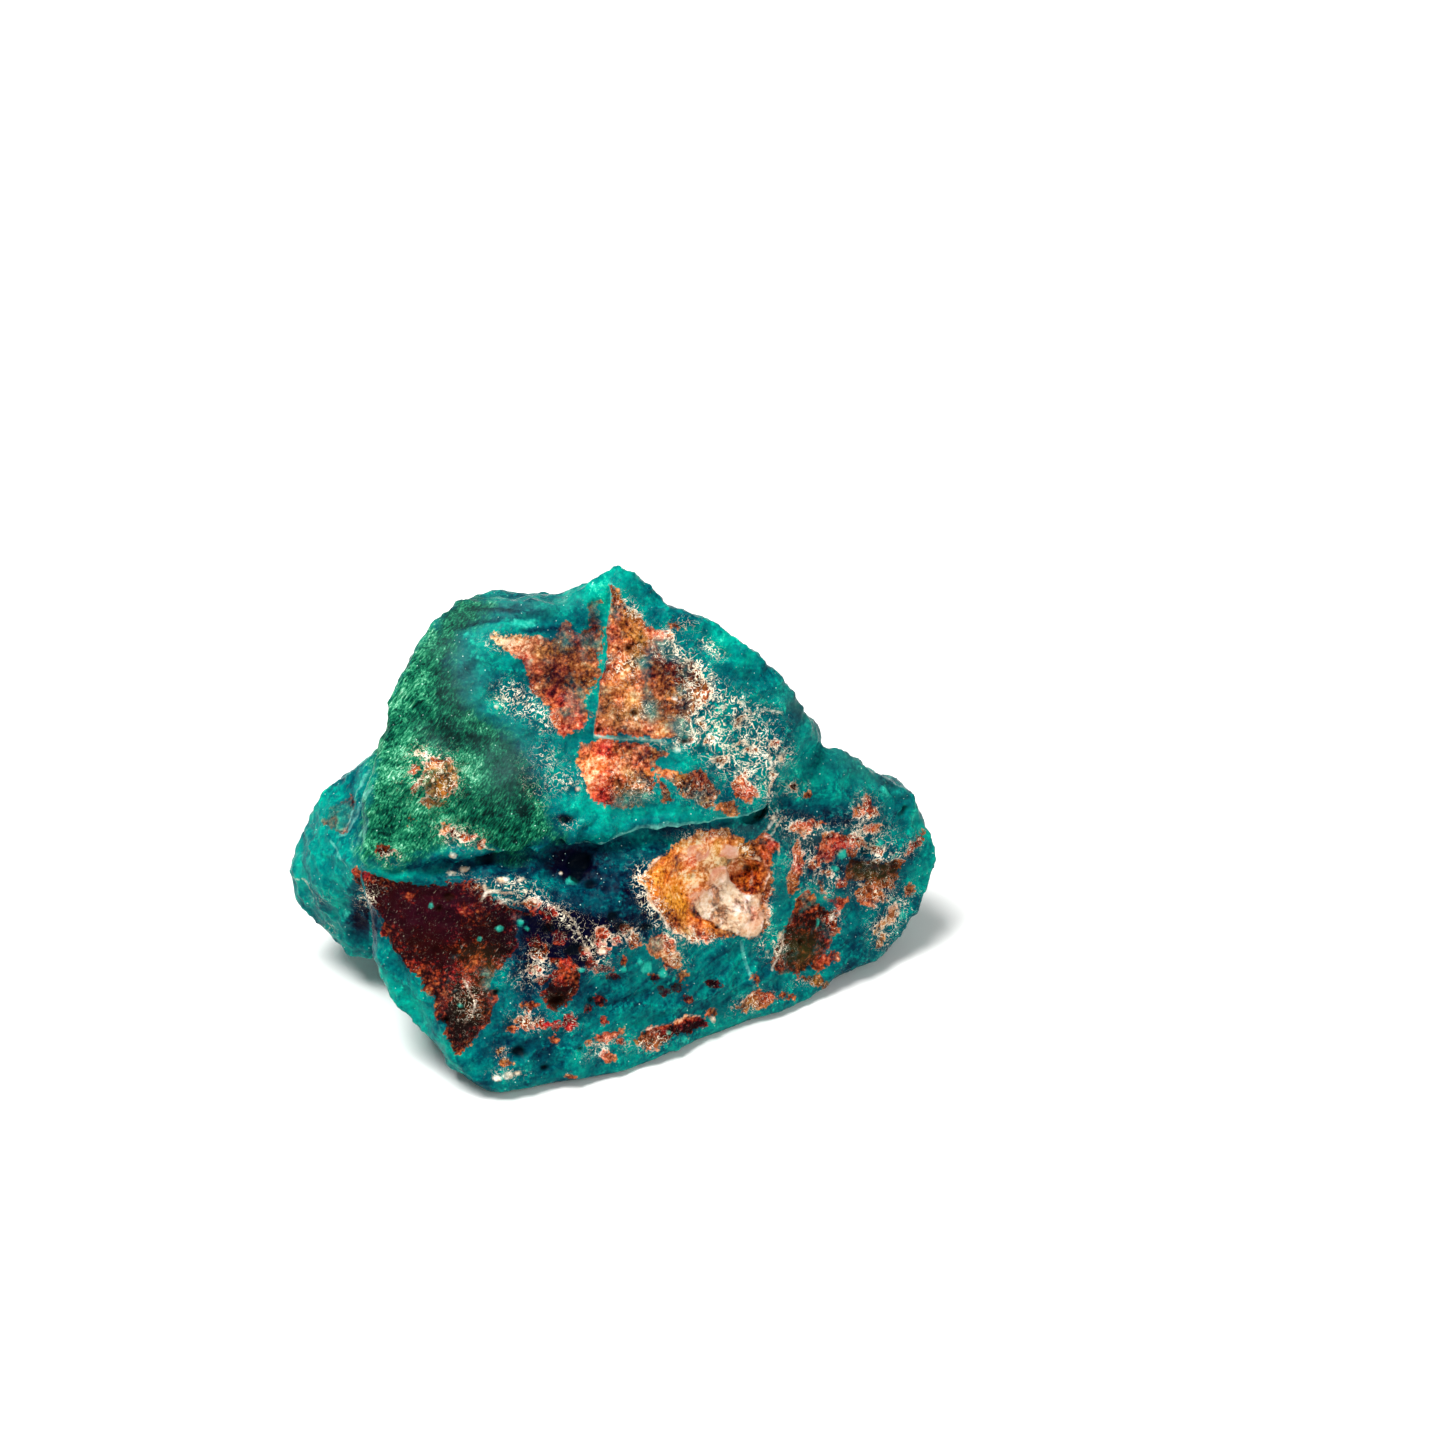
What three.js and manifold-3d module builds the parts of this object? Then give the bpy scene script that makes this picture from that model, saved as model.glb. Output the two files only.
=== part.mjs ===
// Dioptase on matrix: one broken lump of massive blue-green mineral, grown through rusty rock.
//
// The lump rests on its flat broken foot. Its frame has the origin on that foot, +X along the
// longest side, -Y towards the front with the ledge, and +Z up. Every number is in millimetres.
//
// The lump is built the way it broke: convex blocks, each the hull of the corners where its
// fracture faces meet, are fused. The skin is worn, swollen and hollowed in places and roughened
// by noise, small holes are cut, and the foot is cut flat last.

import * as THREE from "three";
import { ConvexGeometry } from "three/addons/geometries/ConvexGeometry.js";
import { ImprovedNoise } from "three/addons/math/ImprovedNoise.js";
import { TessellateModifier } from "three/addons/modifiers/TessellateModifier.js";
import { mergeVertices } from "three/addons/utils/BufferGeometryUtils.js";
import Module from "manifold-3d";

// ---------------------------------------------------------------- driving dimensions
const LONGEST_EDGE = 2.6; // no triangle of the worn skin starts with a longer side
const SPLIT_ROUNDS = 12; // enough halvings to reach that length from the longest block
const WEAR_STRENGTH = 0.45; // rounds the edges by about half a millimetre
const WORN_AWAY = 0.25; // taken off everywhere before the roughness is added
const ROUGHNESS = [
  { wavelength: 11, height: 0.55 },
  { wavelength: 4.5, height: 0.3 },
];
const HOLE_DETAIL = 1; // how often the faces of a small hole's surface are split
const WELD_DISTANCE = 1e-3; // corners closer than this are one corner
const FOOT_LEVEL = 0;
const GROUND = { width: 200, depth: 50 }; // what the foot is cut off by

// ---------------------------------------------------------------- the blocks
// Corners of each block as [x, y, z].
const BLOCKS = {
  // the lower half, from the foot to the shelf and the right shoulder
  body: [
    // foot, clockwise from the front corner
    [-12, -18, -1], [-17, -12, -1], [-22, -2, -1], [-22, 10, -1], [-12, 18, -1], [4, 20, -1],
    [18, 17, -1], [25, 11, -1], [25, 3, -1], [17, -5, -1], [9, -10, -1], [-1, -15, -1],
    // lower edge of the front, just above the foot
    [-15.8, -21, 3], [-12.7, -21.9, 1.5], [-11.2, -21.8, 1], [-4.2, -19.8, 1], [-0.8, -17.9, 0.8],
    [5.2, -13.6, 1], [10.7, -11.2, 1], [17.5, -6.7, 1], [23.2, -2, 1.4], [28.4, 1, 2.6],
    [30.6, 4.2, 4.3],
    // left corner, above the foot
    [-21, -7, 5],
    // rim of the shelf
    [-25.2, -10.8, 20.2], [-21.5, -11.7, 19.8], [-13.1, -11.9, 19.8], [-5.3, -11.4, 17.5],
    [2.6, -10.3, 17.3],
    // right shoulder
    [15, -0.8, 22], [23, 5.6, 23.8], [24.8, 6.9, 22], [29.4, 7.5, 17.7], [32, 7.6, 13.5],
    [33.3, 7.2, 10], [32.6, 5.8, 7],
    // back
    [20, 12, 20], [27, 14, 13], [26, 14, 5], [12, 19.5, 18], [14, 20.5, 8], [-6, 20.5, 19],
    [-8, 22, 9], [-20, 16, 16], [-22, 14, 7],
  ],
  // the narrow strip that runs down the left of the front to the foot
  leftFlank: [
    [-17.5, -17.6, 4.4], [-19.9, -16, 6.2], [-22, -14.5, 7.2], [-23.2, -13.3, 7.8],
    [-24, -11.1, 9], [-24.8, -9, 9.6],
    [-25.2, -10.8, 19.6], [-21, -11.5, 19.4], [-17, -14, 7], [-17, -8, 4], [-16, -6, 16],
    [-22, -4, 8],
  ],
  // the upper half: a fibrous green part on the left, a blue part on the right that stands a
  // little proud of it, and what joins them behind
  crownLeft: [
    [-17.5, 6.4, 40], [-16, 8.3, 41], [-13.2, 6.8, 42], [-6.8, 5.1, 43], [-19, 5.3, 39],
    [-19.8, 2.9, 37], [-22.3, 0.3, 34.6], [-23.1, -2.6, 31.2], [-24.4, -6.8, 27.5],
    [-25.5, -11.3, 22], [-23.5, -11.7, 21.2], [-20.5, -10.6, 21.4], [-17.1, -9.4, 21.7],
    [-9.2, -9.2, 21.2], [-4.7, -8.1, 22.3],
    [-12.7, 2.3, 39.2], [-10.7, -3, 31.5], [-0.8, 6, 42], [-1.7, 0.7, 34],
    [-2.4, -2.2, 30.6], [-2.6, -7.1, 23.4], [-3.4, -7.9, 22.6],
    [-22, 5, 15], [-4, 5, 15],
    [-15, 13, 36], [-20, 13, 28], [-22, 12, 18], [-6, 15, 35], [-4, 19, 20],
  ],
  crownBack: [
    [-22, 12, 20], [-6, 20, 19.5], [10, 19.5, 19], [18.5, 11, 22.5], [17.5, 10, 28], [10, 12, 34.5],
    [2, 13, 38], [-5, 14.5, 37], [-13, 12.5, 38], [-19.5, 11, 31.5],
    [-16, 4, 20], [14, 5, 22], [-12, 7, 39.5], [-2, 8, 41], [6, 7.5, 38.5],
  ],
  crownRight: [
    [-0.4, 4.6, 42.6], [-1.5, 0, 34.8], [-2.3, -2.8, 31], [-3, -4.4, 28.3], [-2.4, -5.7, 25.5],
    [-3.8, -8.1, 22.6], [0.6, -7, 22.3], [8.5, -4.7, 22.6], [14.5, -2.1, 22.6],
    [5, 6, 41.2], [9.9, 4.7, 40.3], [14.3, 3.2, 37.2], [17.4, 2.9, 33], [19.1, 3, 29.8],
    [20.3, 3.2, 26.4],
    [-4, 5, 15], [15, 6, 15],
    [0, 13, 37], [10, 12, 34], [18, 9, 28], [21, 10, 22], [18, 16, 18], [-4, 18, 20],
  ],
  // the pointed top
  peak: [
    [-5.3, 6.2, 42.6], [-2.3, 7.1, 43.6], [-0.8, 7.7, 44.8], [0.8, 7.6, 45.6], [2.6, 7.3, 44.5],
    [5.6, 6.2, 41.2], [0, 5, 43.8], [-0.4, 4.9, 42.4], [-5, 5.9, 41], [4, 5.2, 40],
    [2, 12, 39], [-6, 12, 38], [-1, 8, 33],
  ],
  // the rounded lobe behind the left edge
  leftLobe: [
    [-24.7, 5.4, 23], [-26.8, 5.1, 21], [-30.4, 6.2, 18.2], [-33.2, 5.5, 14], [-34, 4, 11],
    [-33, 2.4, 7.6], [-31, 1.3, 5.6], [-29.2, -0.8, 4], [-27.3, -2.1, 3.6], [-24.5, -3.4, 4.4],
    [-25.5, -7.1, 18], [-20, 8, 24], [-20, 8, 2], [-22, 13, 20], [-27, 11.5, 16], [-27, 10, 6],
    [-14, 18, 15], [-16, 17, 5], [-20, -5, 5],
  ],
  // a plate on the green part that ends at the shelf
  greenTongue: [
    [-11.4, -3.2, 32], [-9.6, -4, 30.8], [-7.8, -5.4, 28.2], [-6, -7, 25.6], [-4.9, -8.8, 22.3],
    [-8.4, -9.6, 21.2], [-9.2, -10.6, 20.8], [-13.6, -10.4, 21.4], [-19, -9.9, 22.4],
    [-15.4, -5.2, 28.4], [-11, 0, 24], [-6, -2, 24],
  ],
  // the wedge of cream spar in the pocket
  spar: [
    [9.2, -6.4, 16], [12.4, -5.2, 15], [15.6, -5.6, 8.9], [12.4, -7.2, 9.2], [9.9, -8, 11.2],
    [8, -3, 12], [14, -1, 10],
  ],
};

// Places on the skin. Each is centred `at` a point, `facing` points out of the stone, and `across`
// and `tall` are its half widths level and upward.

// Broad swellings (height above zero) and hollows (below zero), which fade out at their rims.
const RELIEF = [
  // front: the pocket, the rusty corner, worn patches
  { at: [9.4, -6.1, 15.3], facing: [0.47, -0.83, 0.31], across: 6.8, tall: 6, height: -2 },
  { at: [-16.1, -14.1, 14], facing: [-0.02, -0.84, 0.54], across: 8, tall: 6.5, height: -0.9 },
  { at: [-4.3, -9.4, 19.5], facing: [0.12, -0.5, 0.86], across: 6, tall: 3.6, height: -1.3 },
  { at: [19.7, -2.9, 7.5], facing: [0.55, -0.77, 0.32], across: 4, tall: 5, height: -0.8 },
  { at: [-6.8, 0.4, 35.7], facing: [0.1, -0.83, 0.54], across: 5, tall: 4.4, height: -0.8 },
  // front: the rusty boss and nodules
  { at: [-17.6, -5.7, 28.5], facing: [0.09, -0.81, 0.58], across: 3.6, tall: 3.4, height: 0.9 },
  { at: [4.5, -11, 11.6], facing: [0.5, -0.82, 0.27], across: 3, tall: 2.8, height: 0.8 },
  { at: [-3.3, -14.3, 11.2], facing: [0.2, -0.9, 0.39], across: 4, tall: 4.6, height: 0.7 },
  { at: [22, 0.2, 14], facing: [0.52, -0.8, 0.31], across: 4, tall: 4.4, height: 0.6 },
  // back and ends
  { at: [-8, 17.2, 25], facing: [-0.21, 0.96, 0.17], across: 7, tall: 5.5, height: -1.6 },
  { at: [12, 20.6, 11], facing: [0.08, 0.99, 0.09], across: 8, tall: 5, height: -1.3 },
  { at: [28.8, 12, 8], facing: [0.78, 0.58, -0.24], across: 5, tall: 4, height: -0.9 },
  { at: [-31.5, 6, 14], facing: [-0.92, 0.24, 0.3], across: 4.5, tall: 5, height: -0.7 },
  { at: [3, 15.2, 30], facing: [0.16, 0.95, 0.27], across: 7, tall: 5, height: 1.2 },
  { at: [-16, 17.4, 9], facing: [-0.52, 0.86, -0.02], across: 6, tall: 7, height: 1.1 },
];

// Small holes with sharp rims, `deep` into the stone.
const HOLES = [
  // front: in the pocket, at the end of the ledge, in the rusty band on the right
  { at: [12.9, -4, 15], facing: [0.47, -0.83, 0.31], across: 1.8, tall: 1.6, deep: 2.6 },
  { at: [14, -1.6, 21], facing: [0.52, -0.85, 0.12], across: 1.8, tall: 0.8, deep: 2 },
  { at: [25.4, 3.6, 12.9], facing: [0.52, -0.8, 0.31], across: 1.2, tall: 1, deep: 1.6 },
  // back
  { at: [-12, 18.7, 16], facing: [-0.46, 0.85, 0.23], across: 1.8, tall: 1.3, deep: 1.8 },
];

const noise = new ImprovedNoise();

// ---------------------------------------------------------------- solids
function blockGeometry(corners) {
  return new ConvexGeometry(corners.map((corner) => new THREE.Vector3(...corner)));
}

// The level, upward and outward directions of a place on the skin.
function directions({ facing }) {
  const outward = new THREE.Vector3(...facing).normalize();
  const level = new THREE.Vector3(0, 0, 1).cross(outward).normalize();
  const upward = outward.clone().cross(level);
  return { level, upward, outward };
}

// The ellipsoid that a hole removes.
function holeGeometry(hole) {
  const { level, upward, outward } = directions(hole);
  const placed = new THREE.Matrix4().makeBasis(
    level.multiplyScalar(hole.across),
    upward.multiplyScalar(hole.tall),
    outward.multiplyScalar(hole.deep),
  );
  placed.setPosition(...hole.at);
  return new THREE.IcosahedronGeometry(1, HOLE_DETAIL).applyMatrix4(placed);
}

function bare(geometry) {
  const shape = geometry.clone();
  shape.deleteAttribute("normal");
  shape.deleteAttribute("uv");
  return mergeVertices(shape, WELD_DISTANCE);
}

function toSolid(wasm, geometry) {
  const { attributes, index } = bare(geometry);
  return new wasm.Manifold(
    new wasm.Mesh({
      numProp: 3,
      vertProperties: new Float32Array(attributes.position.array),
      triVerts: new Uint32Array(index.array),
    }),
  );
}

function toGeometry(solid) {
  const { vertProperties, triVerts } = solid.getMesh();
  const geometry = new THREE.BufferGeometry();
  geometry.setAttribute("position", new THREE.BufferAttribute(vertProperties, 3));
  geometry.setIndex(new THREE.BufferAttribute(triVerts, 1));
  return geometry;
}

// ---------------------------------------------------------------- skin
function tessellated(geometry) {
  const splitter = new TessellateModifier(LONGEST_EDGE, SPLIT_ROUNDS);
  return bare(splitter.modify(geometry.toNonIndexed()));
}

// For each corner of the mesh, the set of corners that share a side with it.
function neighbours(geometry) {
  const around = Array.from({ length: geometry.attributes.position.count }, () => new Set());
  const index = geometry.index.array;
  for (let i = 0; i < index.length; i += 3) {
    for (let side = 0; side < 3; side += 1) {
      const a = index[i + side];
      const b = index[i + ((side + 1) % 3)];
      around[a].add(b);
      around[b].add(a);
    }
  }
  return around;
}

// Rounds every edge by moving each corner towards the mean of its neighbours.
function wear(geometry, around) {
  const { position } = geometry.attributes;
  const before = position.clone();
  const here = new THREE.Vector3();
  const other = new THREE.Vector3();
  const mean = new THREE.Vector3();
  around.forEach((ring, i) => {
    mean.set(0, 0, 0);
    ring.forEach((j) => mean.add(other.fromBufferAttribute(before, j)));
    mean.divideScalar(ring.size);
    here.fromBufferAttribute(before, i).lerp(mean, WEAR_STRENGTH);
    position.setXYZ(i, here.x, here.y, here.z);
  });
}

// How far the broad swellings and hollows lift the skin at a point.
function relief(point) {
  return RELIEF.reduce((total, place) => {
    const { level, upward, outward } = directions(place);
    const offset = point.clone().sub(new THREE.Vector3(...place.at));
    const reach = Math.hypot(
      offset.dot(level) / place.across,
      offset.dot(upward) / place.tall,
      offset.dot(outward) / Math.max(place.across, place.tall),
    );
    const fade = Math.max(0, 1 - reach * reach) ** 2;
    return total + place.height * fade;
  }, 0);
}

// Moves the skin along its normals by the relief, the wear and the roughness.
function shapeSkin(geometry) {
  geometry.computeVertexNormals();
  const { position, normal } = geometry.attributes;
  const point = new THREE.Vector3();
  const outward = new THREE.Vector3();
  for (let i = 0; i < position.count; i += 1) {
    point.fromBufferAttribute(position, i);
    outward.fromBufferAttribute(normal, i);
    let height = relief(point) - WORN_AWAY;
    for (const layer of ROUGHNESS) {
      const { x, y, z } = point.clone().divideScalar(layer.wavelength);
      height += layer.height * noise.noise(x, y, z);
    }
    point.addScaledVector(outward, height);
    position.setXYZ(i, point.x, point.y, point.z);
  }
}

// ---------------------------------------------------------------- the lump
async function buildLump() {
  const wasm = await Module();
  wasm.setup();

  const fused = Object.values(BLOCKS)
    .map((corners) => toSolid(wasm, blockGeometry(corners)))
    .reduce((whole, block) => whole.add(block));

  const skin = tessellated(toGeometry(fused));
  wear(skin, neighbours(skin));
  shapeSkin(skin);

  const ground = new THREE.BoxGeometry(GROUND.width, GROUND.width, GROUND.depth);
  ground.translate(0, 0, FOOT_LEVEL - GROUND.depth / 2);
  const stone = [ground, ...HOLES.map(holeGeometry)]
    .map((geometry) => toSolid(wasm, geometry))
    .reduce((whole, removed) => whole.subtract(removed), toSolid(wasm, skin));
  return toGeometry(stone);
}

const lump = new THREE.Mesh(
  await buildLump(),
  new THREE.MeshStandardMaterial({ color: 0x0b7f78, roughness: 0.45, metalness: 0 }),
);
lump.name = "dioptase_on_matrix";

const specimen = new THREE.Group();
specimen.add(lump);

export default specimen;
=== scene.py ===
"""Dioptase on matrix: the dressed stone, the floor it lies on, its light and its camera.

The stone is one broken lump of blue-green rock about 65 mm long: waxy teal silica stained by copper,
a fibrous green crust on its left, and iron-stained matrix in rusty patches with cream rims. Lengths are
in millimetres unless a name says otherwise, and meshes are in metres.
"""
import functools
import logging
import math
from collections.abc import Callable
from dataclasses import dataclass
from enum import Enum

import bmesh
import bpy
import numpy as np
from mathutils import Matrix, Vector, noise
from mathutils.bvhtree import BVHTree


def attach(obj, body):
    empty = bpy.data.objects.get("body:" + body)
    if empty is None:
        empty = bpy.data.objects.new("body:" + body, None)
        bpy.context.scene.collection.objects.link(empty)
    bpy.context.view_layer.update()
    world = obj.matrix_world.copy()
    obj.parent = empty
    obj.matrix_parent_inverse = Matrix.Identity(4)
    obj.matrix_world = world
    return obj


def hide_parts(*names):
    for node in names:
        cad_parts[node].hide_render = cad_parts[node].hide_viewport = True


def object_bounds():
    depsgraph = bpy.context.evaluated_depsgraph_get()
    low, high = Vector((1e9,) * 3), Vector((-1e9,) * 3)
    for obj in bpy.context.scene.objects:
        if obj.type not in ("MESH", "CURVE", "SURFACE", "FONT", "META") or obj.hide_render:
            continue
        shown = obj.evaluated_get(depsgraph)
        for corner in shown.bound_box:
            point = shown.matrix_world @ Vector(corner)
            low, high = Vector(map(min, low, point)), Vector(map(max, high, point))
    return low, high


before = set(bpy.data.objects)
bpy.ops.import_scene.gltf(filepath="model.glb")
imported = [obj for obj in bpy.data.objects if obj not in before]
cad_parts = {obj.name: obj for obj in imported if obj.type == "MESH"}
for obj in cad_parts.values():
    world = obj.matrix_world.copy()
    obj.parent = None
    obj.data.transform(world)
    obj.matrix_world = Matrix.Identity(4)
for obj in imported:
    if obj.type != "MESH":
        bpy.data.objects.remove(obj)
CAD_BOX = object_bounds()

LOG = logging.getLogger("dioptase_on_matrix")
MM = 0.001
NODE = "dioptase_on_matrix"
BODY = "root"

Point = tuple[float, float]
Field = np.ndarray
Feed = bpy.types.Node | bpy.types.NodeSocket | float | tuple


def linear(colour: str) -> tuple[float, float, float, float]:
    """Turns an sRGB colour into the linear one that Blender's sockets take.

    Args:
        colour: six hex digits after a hash, such as "#0b9488".

    Returns:
        Red, green, blue and alpha, from 0 to 1.
    """
    parts = [int(colour[at:at + 2], 16) / 255 for at in (1, 3, 5)]
    red, green, blue = [p / 12.92 if p <= 0.04045 else ((p + 0.055) / 1.055) ** 2.4 for p in parts]
    return red, green, blue, 1.0


def add_node(
    tree: bpy.types.NodeTree, kind: str, *feeds: Feed, colours: tuple[str, ...] = (), **settings: object
) -> bpy.types.Node:
    """Adds a node with its settings and links.

    Args:
        tree: the node tree it goes into.
        kind: its type without "ShaderNode", and its operation where it has one, such as "Math ADD".
        feeds: what goes into its usable inputs in order: a node, a socket or a value.
        colours: for a colour ramp, sRGB hex values spread evenly from 0 to 1.
        settings: the node's own properties by name.

    Returns:
        The new node.
    """
    kind, _, operation = kind.partition(" ")
    node = tree.nodes.new("ShaderNode" + kind)
    if operation:
        node.operation = operation
    for name, value in settings.items():
        setattr(node, name, value)
    if colours:
        stops = node.color_ramp.elements
        stops[0].color, stops[-1].color = linear(colours[0]), linear(colours[-1])
        for index, colour in enumerate(colours[1:-1], 1):
            stops.new(index / (len(colours) - 1)).color = linear(colour)
    usable = [socket for socket in node.inputs if socket.enabled]
    for socket, feed in zip(usable, feeds):
        if isinstance(feed, bpy.types.Node):
            feed = next(output for output in feed.outputs if output.enabled)
        if isinstance(feed, bpy.types.NodeSocket):
            tree.links.new(feed, socket)
        else:
            socket.default_value = feed
    return node


def add_object(name: str, data: bpy.types.ID) -> bpy.types.Object:
    """Puts a new object into the scene.

    Args:
        name: its name.
        data: its mesh, light or camera.

    Returns:
        The object.
    """
    thing = bpy.data.objects.new(name, data)
    bpy.context.scene.collection.objects.link(thing)
    return thing


def smoothstep(low: float, high: float, values: Field) -> Field:
    """Rises smoothly from 0 at low to 1 at high."""
    part = np.clip((values - low) / (high - low), 0, 1)
    return part * part * (3 - 2 * part)


def turned(at: Field, centre: Point, reach: Point, lean: float) -> Field:
    """How far places lie from the middle of an ellipse, where 1 is on its edge.

    Args:
        at: places on the face plane, one row each.
        centre: the ellipse's middle.
        reach: its two half lengths.
        lean: the turn of the first one from the horizontal, in degrees, upwards to the right.

    Returns:
        One number for each place.
    """
    offset = at - np.array(centre)
    cos, sin = math.cos(math.radians(lean)), math.sin(math.radians(lean))
    along = offset @ np.array((cos, sin)) / reach[0]
    across = offset @ np.array((-sin, cos)) / reach[1]
    return np.hypot(along, across)


def to_segment(at: Field, start: Field, end: Field) -> Field:
    """Distance from each place to a straight stretch.

    Args:
        at: places on the face plane, one row each.
        start: where the stretch starts.
        end: where it ends.

    Returns:
        One number in mm for each place.
    """
    run = end - start
    along = np.clip((at - start) @ run / (run @ run), 0, 1)
    return np.linalg.norm(at - start - along[:, None] * run, axis=1)


@dataclass(frozen=True)
class Patch:
    """An area with a drawn edge, from its corner points in order."""

    points: tuple[Point, ...]

    def field(self, at: Field) -> Field:
        """How deep in the area each place lies.

        Args:
            at: places on the face plane, one row each.

        Returns:
            The distance from the edge in mm for each place, above zero inside.
        """
        nearest = np.full(len(at), np.inf)
        inside = np.zeros(len(at), bool)
        corners = np.array(self.points)
        for start, end in zip(corners, np.roll(corners, -1, axis=0)):
            nearest = np.minimum(nearest, to_segment(at, start, end))
            if start[1] != end[1]:
                crossing = start[0] + (at[:, 1] - start[1]) * (end[0] - start[0]) / (end[1] - start[1])
                inside ^= ((start[1] > at[:, 1]) != (end[1] > at[:, 1])) & (at[:, 0] < crossing)
        return np.where(inside, nearest, -nearest)


@dataclass(frozen=True)
class Vein:
    """A line of even width through a few points."""

    width: float
    points: tuple[Point, ...]

    def field(self, at: Field) -> Field:
        """How deep in the line each place lies.

        Args:
            at: places on the face plane, one row each.

        Returns:
            The distance from the line's edge in mm for each place, above zero inside.
        """
        corners = np.array(self.points)
        reaches = [to_segment(at, start, end) for start, end in zip(corners, corners[1:])]
        return self.width / 2 - np.min(reaches, axis=0)


@dataclass(frozen=True)
class Spot:
    """A round or oval speck: its middle, half length, flatness (short over long) and lean in degrees."""

    x: float
    y: float
    reach: float
    flatness: float = 1.0
    lean: float = 0.0

    def field(self, at: Field) -> Field:
        """Distance from the edge in mm, above zero inside."""
        short = self.reach * self.flatness
        return (1 - turned(at, (self.x, self.y), (self.reach, short), self.lean)) * short


@dataclass(frozen=True)
class Wash:
    """A soft oval of strength: its middle, two half lengths, strength and lean in degrees."""

    x: float
    y: float
    along: float
    across: float
    strength: float
    lean: float = 0.0

    def field(self, at: Field) -> Field:
        """Strength at each place, fading outwards."""
        reach = turned(at, (self.x, self.y), (self.along, self.across), self.lean)
        return self.strength * np.exp(-reach ** 2)


@dataclass(frozen=True)
class Step:
    """A step in the surface along a line: raised to the right of the way its points run.

    Attributes:
        rise: its height in mm, shared by both sides.
        points: the line.
        fade: how far from the line the surface is level again, in mm.
        edge: how far to each side the step itself reaches.
        end: how far from its ends it has its full height.
    """

    rise: float
    points: tuple[Point, ...]
    fade: float
    edge: float = 0.14
    end: float = 1.5

    def field(self, at: Field) -> Field:
        """How high the step leaves each place.

        Args:
            at: places on the face plane, one row each.

        Returns:
            Heights in mm, above zero to the right of the line and below it to the left.
        """
        corners = np.array(self.points)
        nearest = np.full(len(at), np.inf)
        side = np.zeros(len(at))
        for start, end in zip(corners, corners[1:]):
            reach = to_segment(at, start, end)
            run, offset = end - start, at - start
            turn = (run[1] * offset[:, 0] - run[0] * offset[:, 1]) / np.linalg.norm(run)
            closer = reach < nearest
            nearest = np.where(closer, reach, nearest)
            side = np.where(closer, turn, side)
        ends = np.minimum(*(np.linalg.norm(at - corners[end], axis=1) for end in (0, -1)))
        height = self.rise / 2 * np.tanh(side / self.edge) * np.exp(-nearest / self.fade)
        return height * smoothstep(0, self.end, ends)


@dataclass(frozen=True)
class Blob:
    """A mark on a side that the face plane doesn't reach: a ball in the stone's own frame."""

    x: float
    y: float
    z: float
    reach: float
    strength: float = 1.0

    def field(self, at: Field) -> Field:
        """Distance from the ball's edge in mm, above zero inside."""
        return self.reach - np.linalg.norm(at - np.array((self.x, self.y, self.z)), axis=1)


def spots(*rows: tuple[float, ...]) -> tuple[Spot, ...]:
    """One spot for each row of its values."""
    return tuple(Spot(*row) for row in rows)


def washes(*rows: tuple[float, ...]) -> tuple[Wash, ...]:
    """One wash for each row of its values."""
    return tuple(Wash(*row) for row in rows)


def blobs(*rows: tuple[float, ...]) -> tuple[Blob, ...]:
    """One blob for each row of its values."""
    return tuple(Blob(*row) for row in rows)


class Layer(Enum):
    """What a mark is. The edged layers hold a distance in mm from their edge, the soft ones a strength."""

    RUST = "mark_rust"      # iron-stained matrix
    FIBRES = "mark_fibres"  # fibrous green crust
    SPAR = "mark_spar"      # cream to white spar
    WISPS = "mark_wisps"    # pale milky lines in the blue-green, and painted highlights along the lip and the crown's step
    PITS = "mark_pits"      # hollows: dented in the relief and painted near-black as shade
    BEADS = "mark_beads"    # bright turquoise grains
    LIPS = "mark_lips"      # raised, bright broken edges
    HEAT = "mark_heat"      # in the matrix: below zero maroon, above zero bright orange
    DRAB = "mark_drab"      # in the matrix: below zero purple, above zero olive
    OCHRE = "mark_ochre"    # yellow iron stain
    RED = "mark_red"        # bright red iron stain
    THIN = "mark_thin"      # matrix so thin that the blue-green shows through
    BANDS = "mark_bands"    # blue-green laid down in thin bands
    CREST = "mark_crest"    # painted highlight along the crests between chips, worked out from the relief
    LACE = "mark_lace"      # cream squiggles over rock and matrix
    LIGHT = "mark_light"    # in the blue-green: below zero navy tone and painted shade, above zero bright turquoise and painted light
    SLATE = "mark_slate"    # grey veil over the blue-green


EDGED = (Layer.RUST, Layer.FIBRES, Layer.SPAR, Layer.WISPS, Layer.PITS, Layer.BEADS, Layer.LIPS)
Mark = Patch | Vein | Spot | Wash
Marks = dict[Layer, tuple[Mark, ...]]

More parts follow.
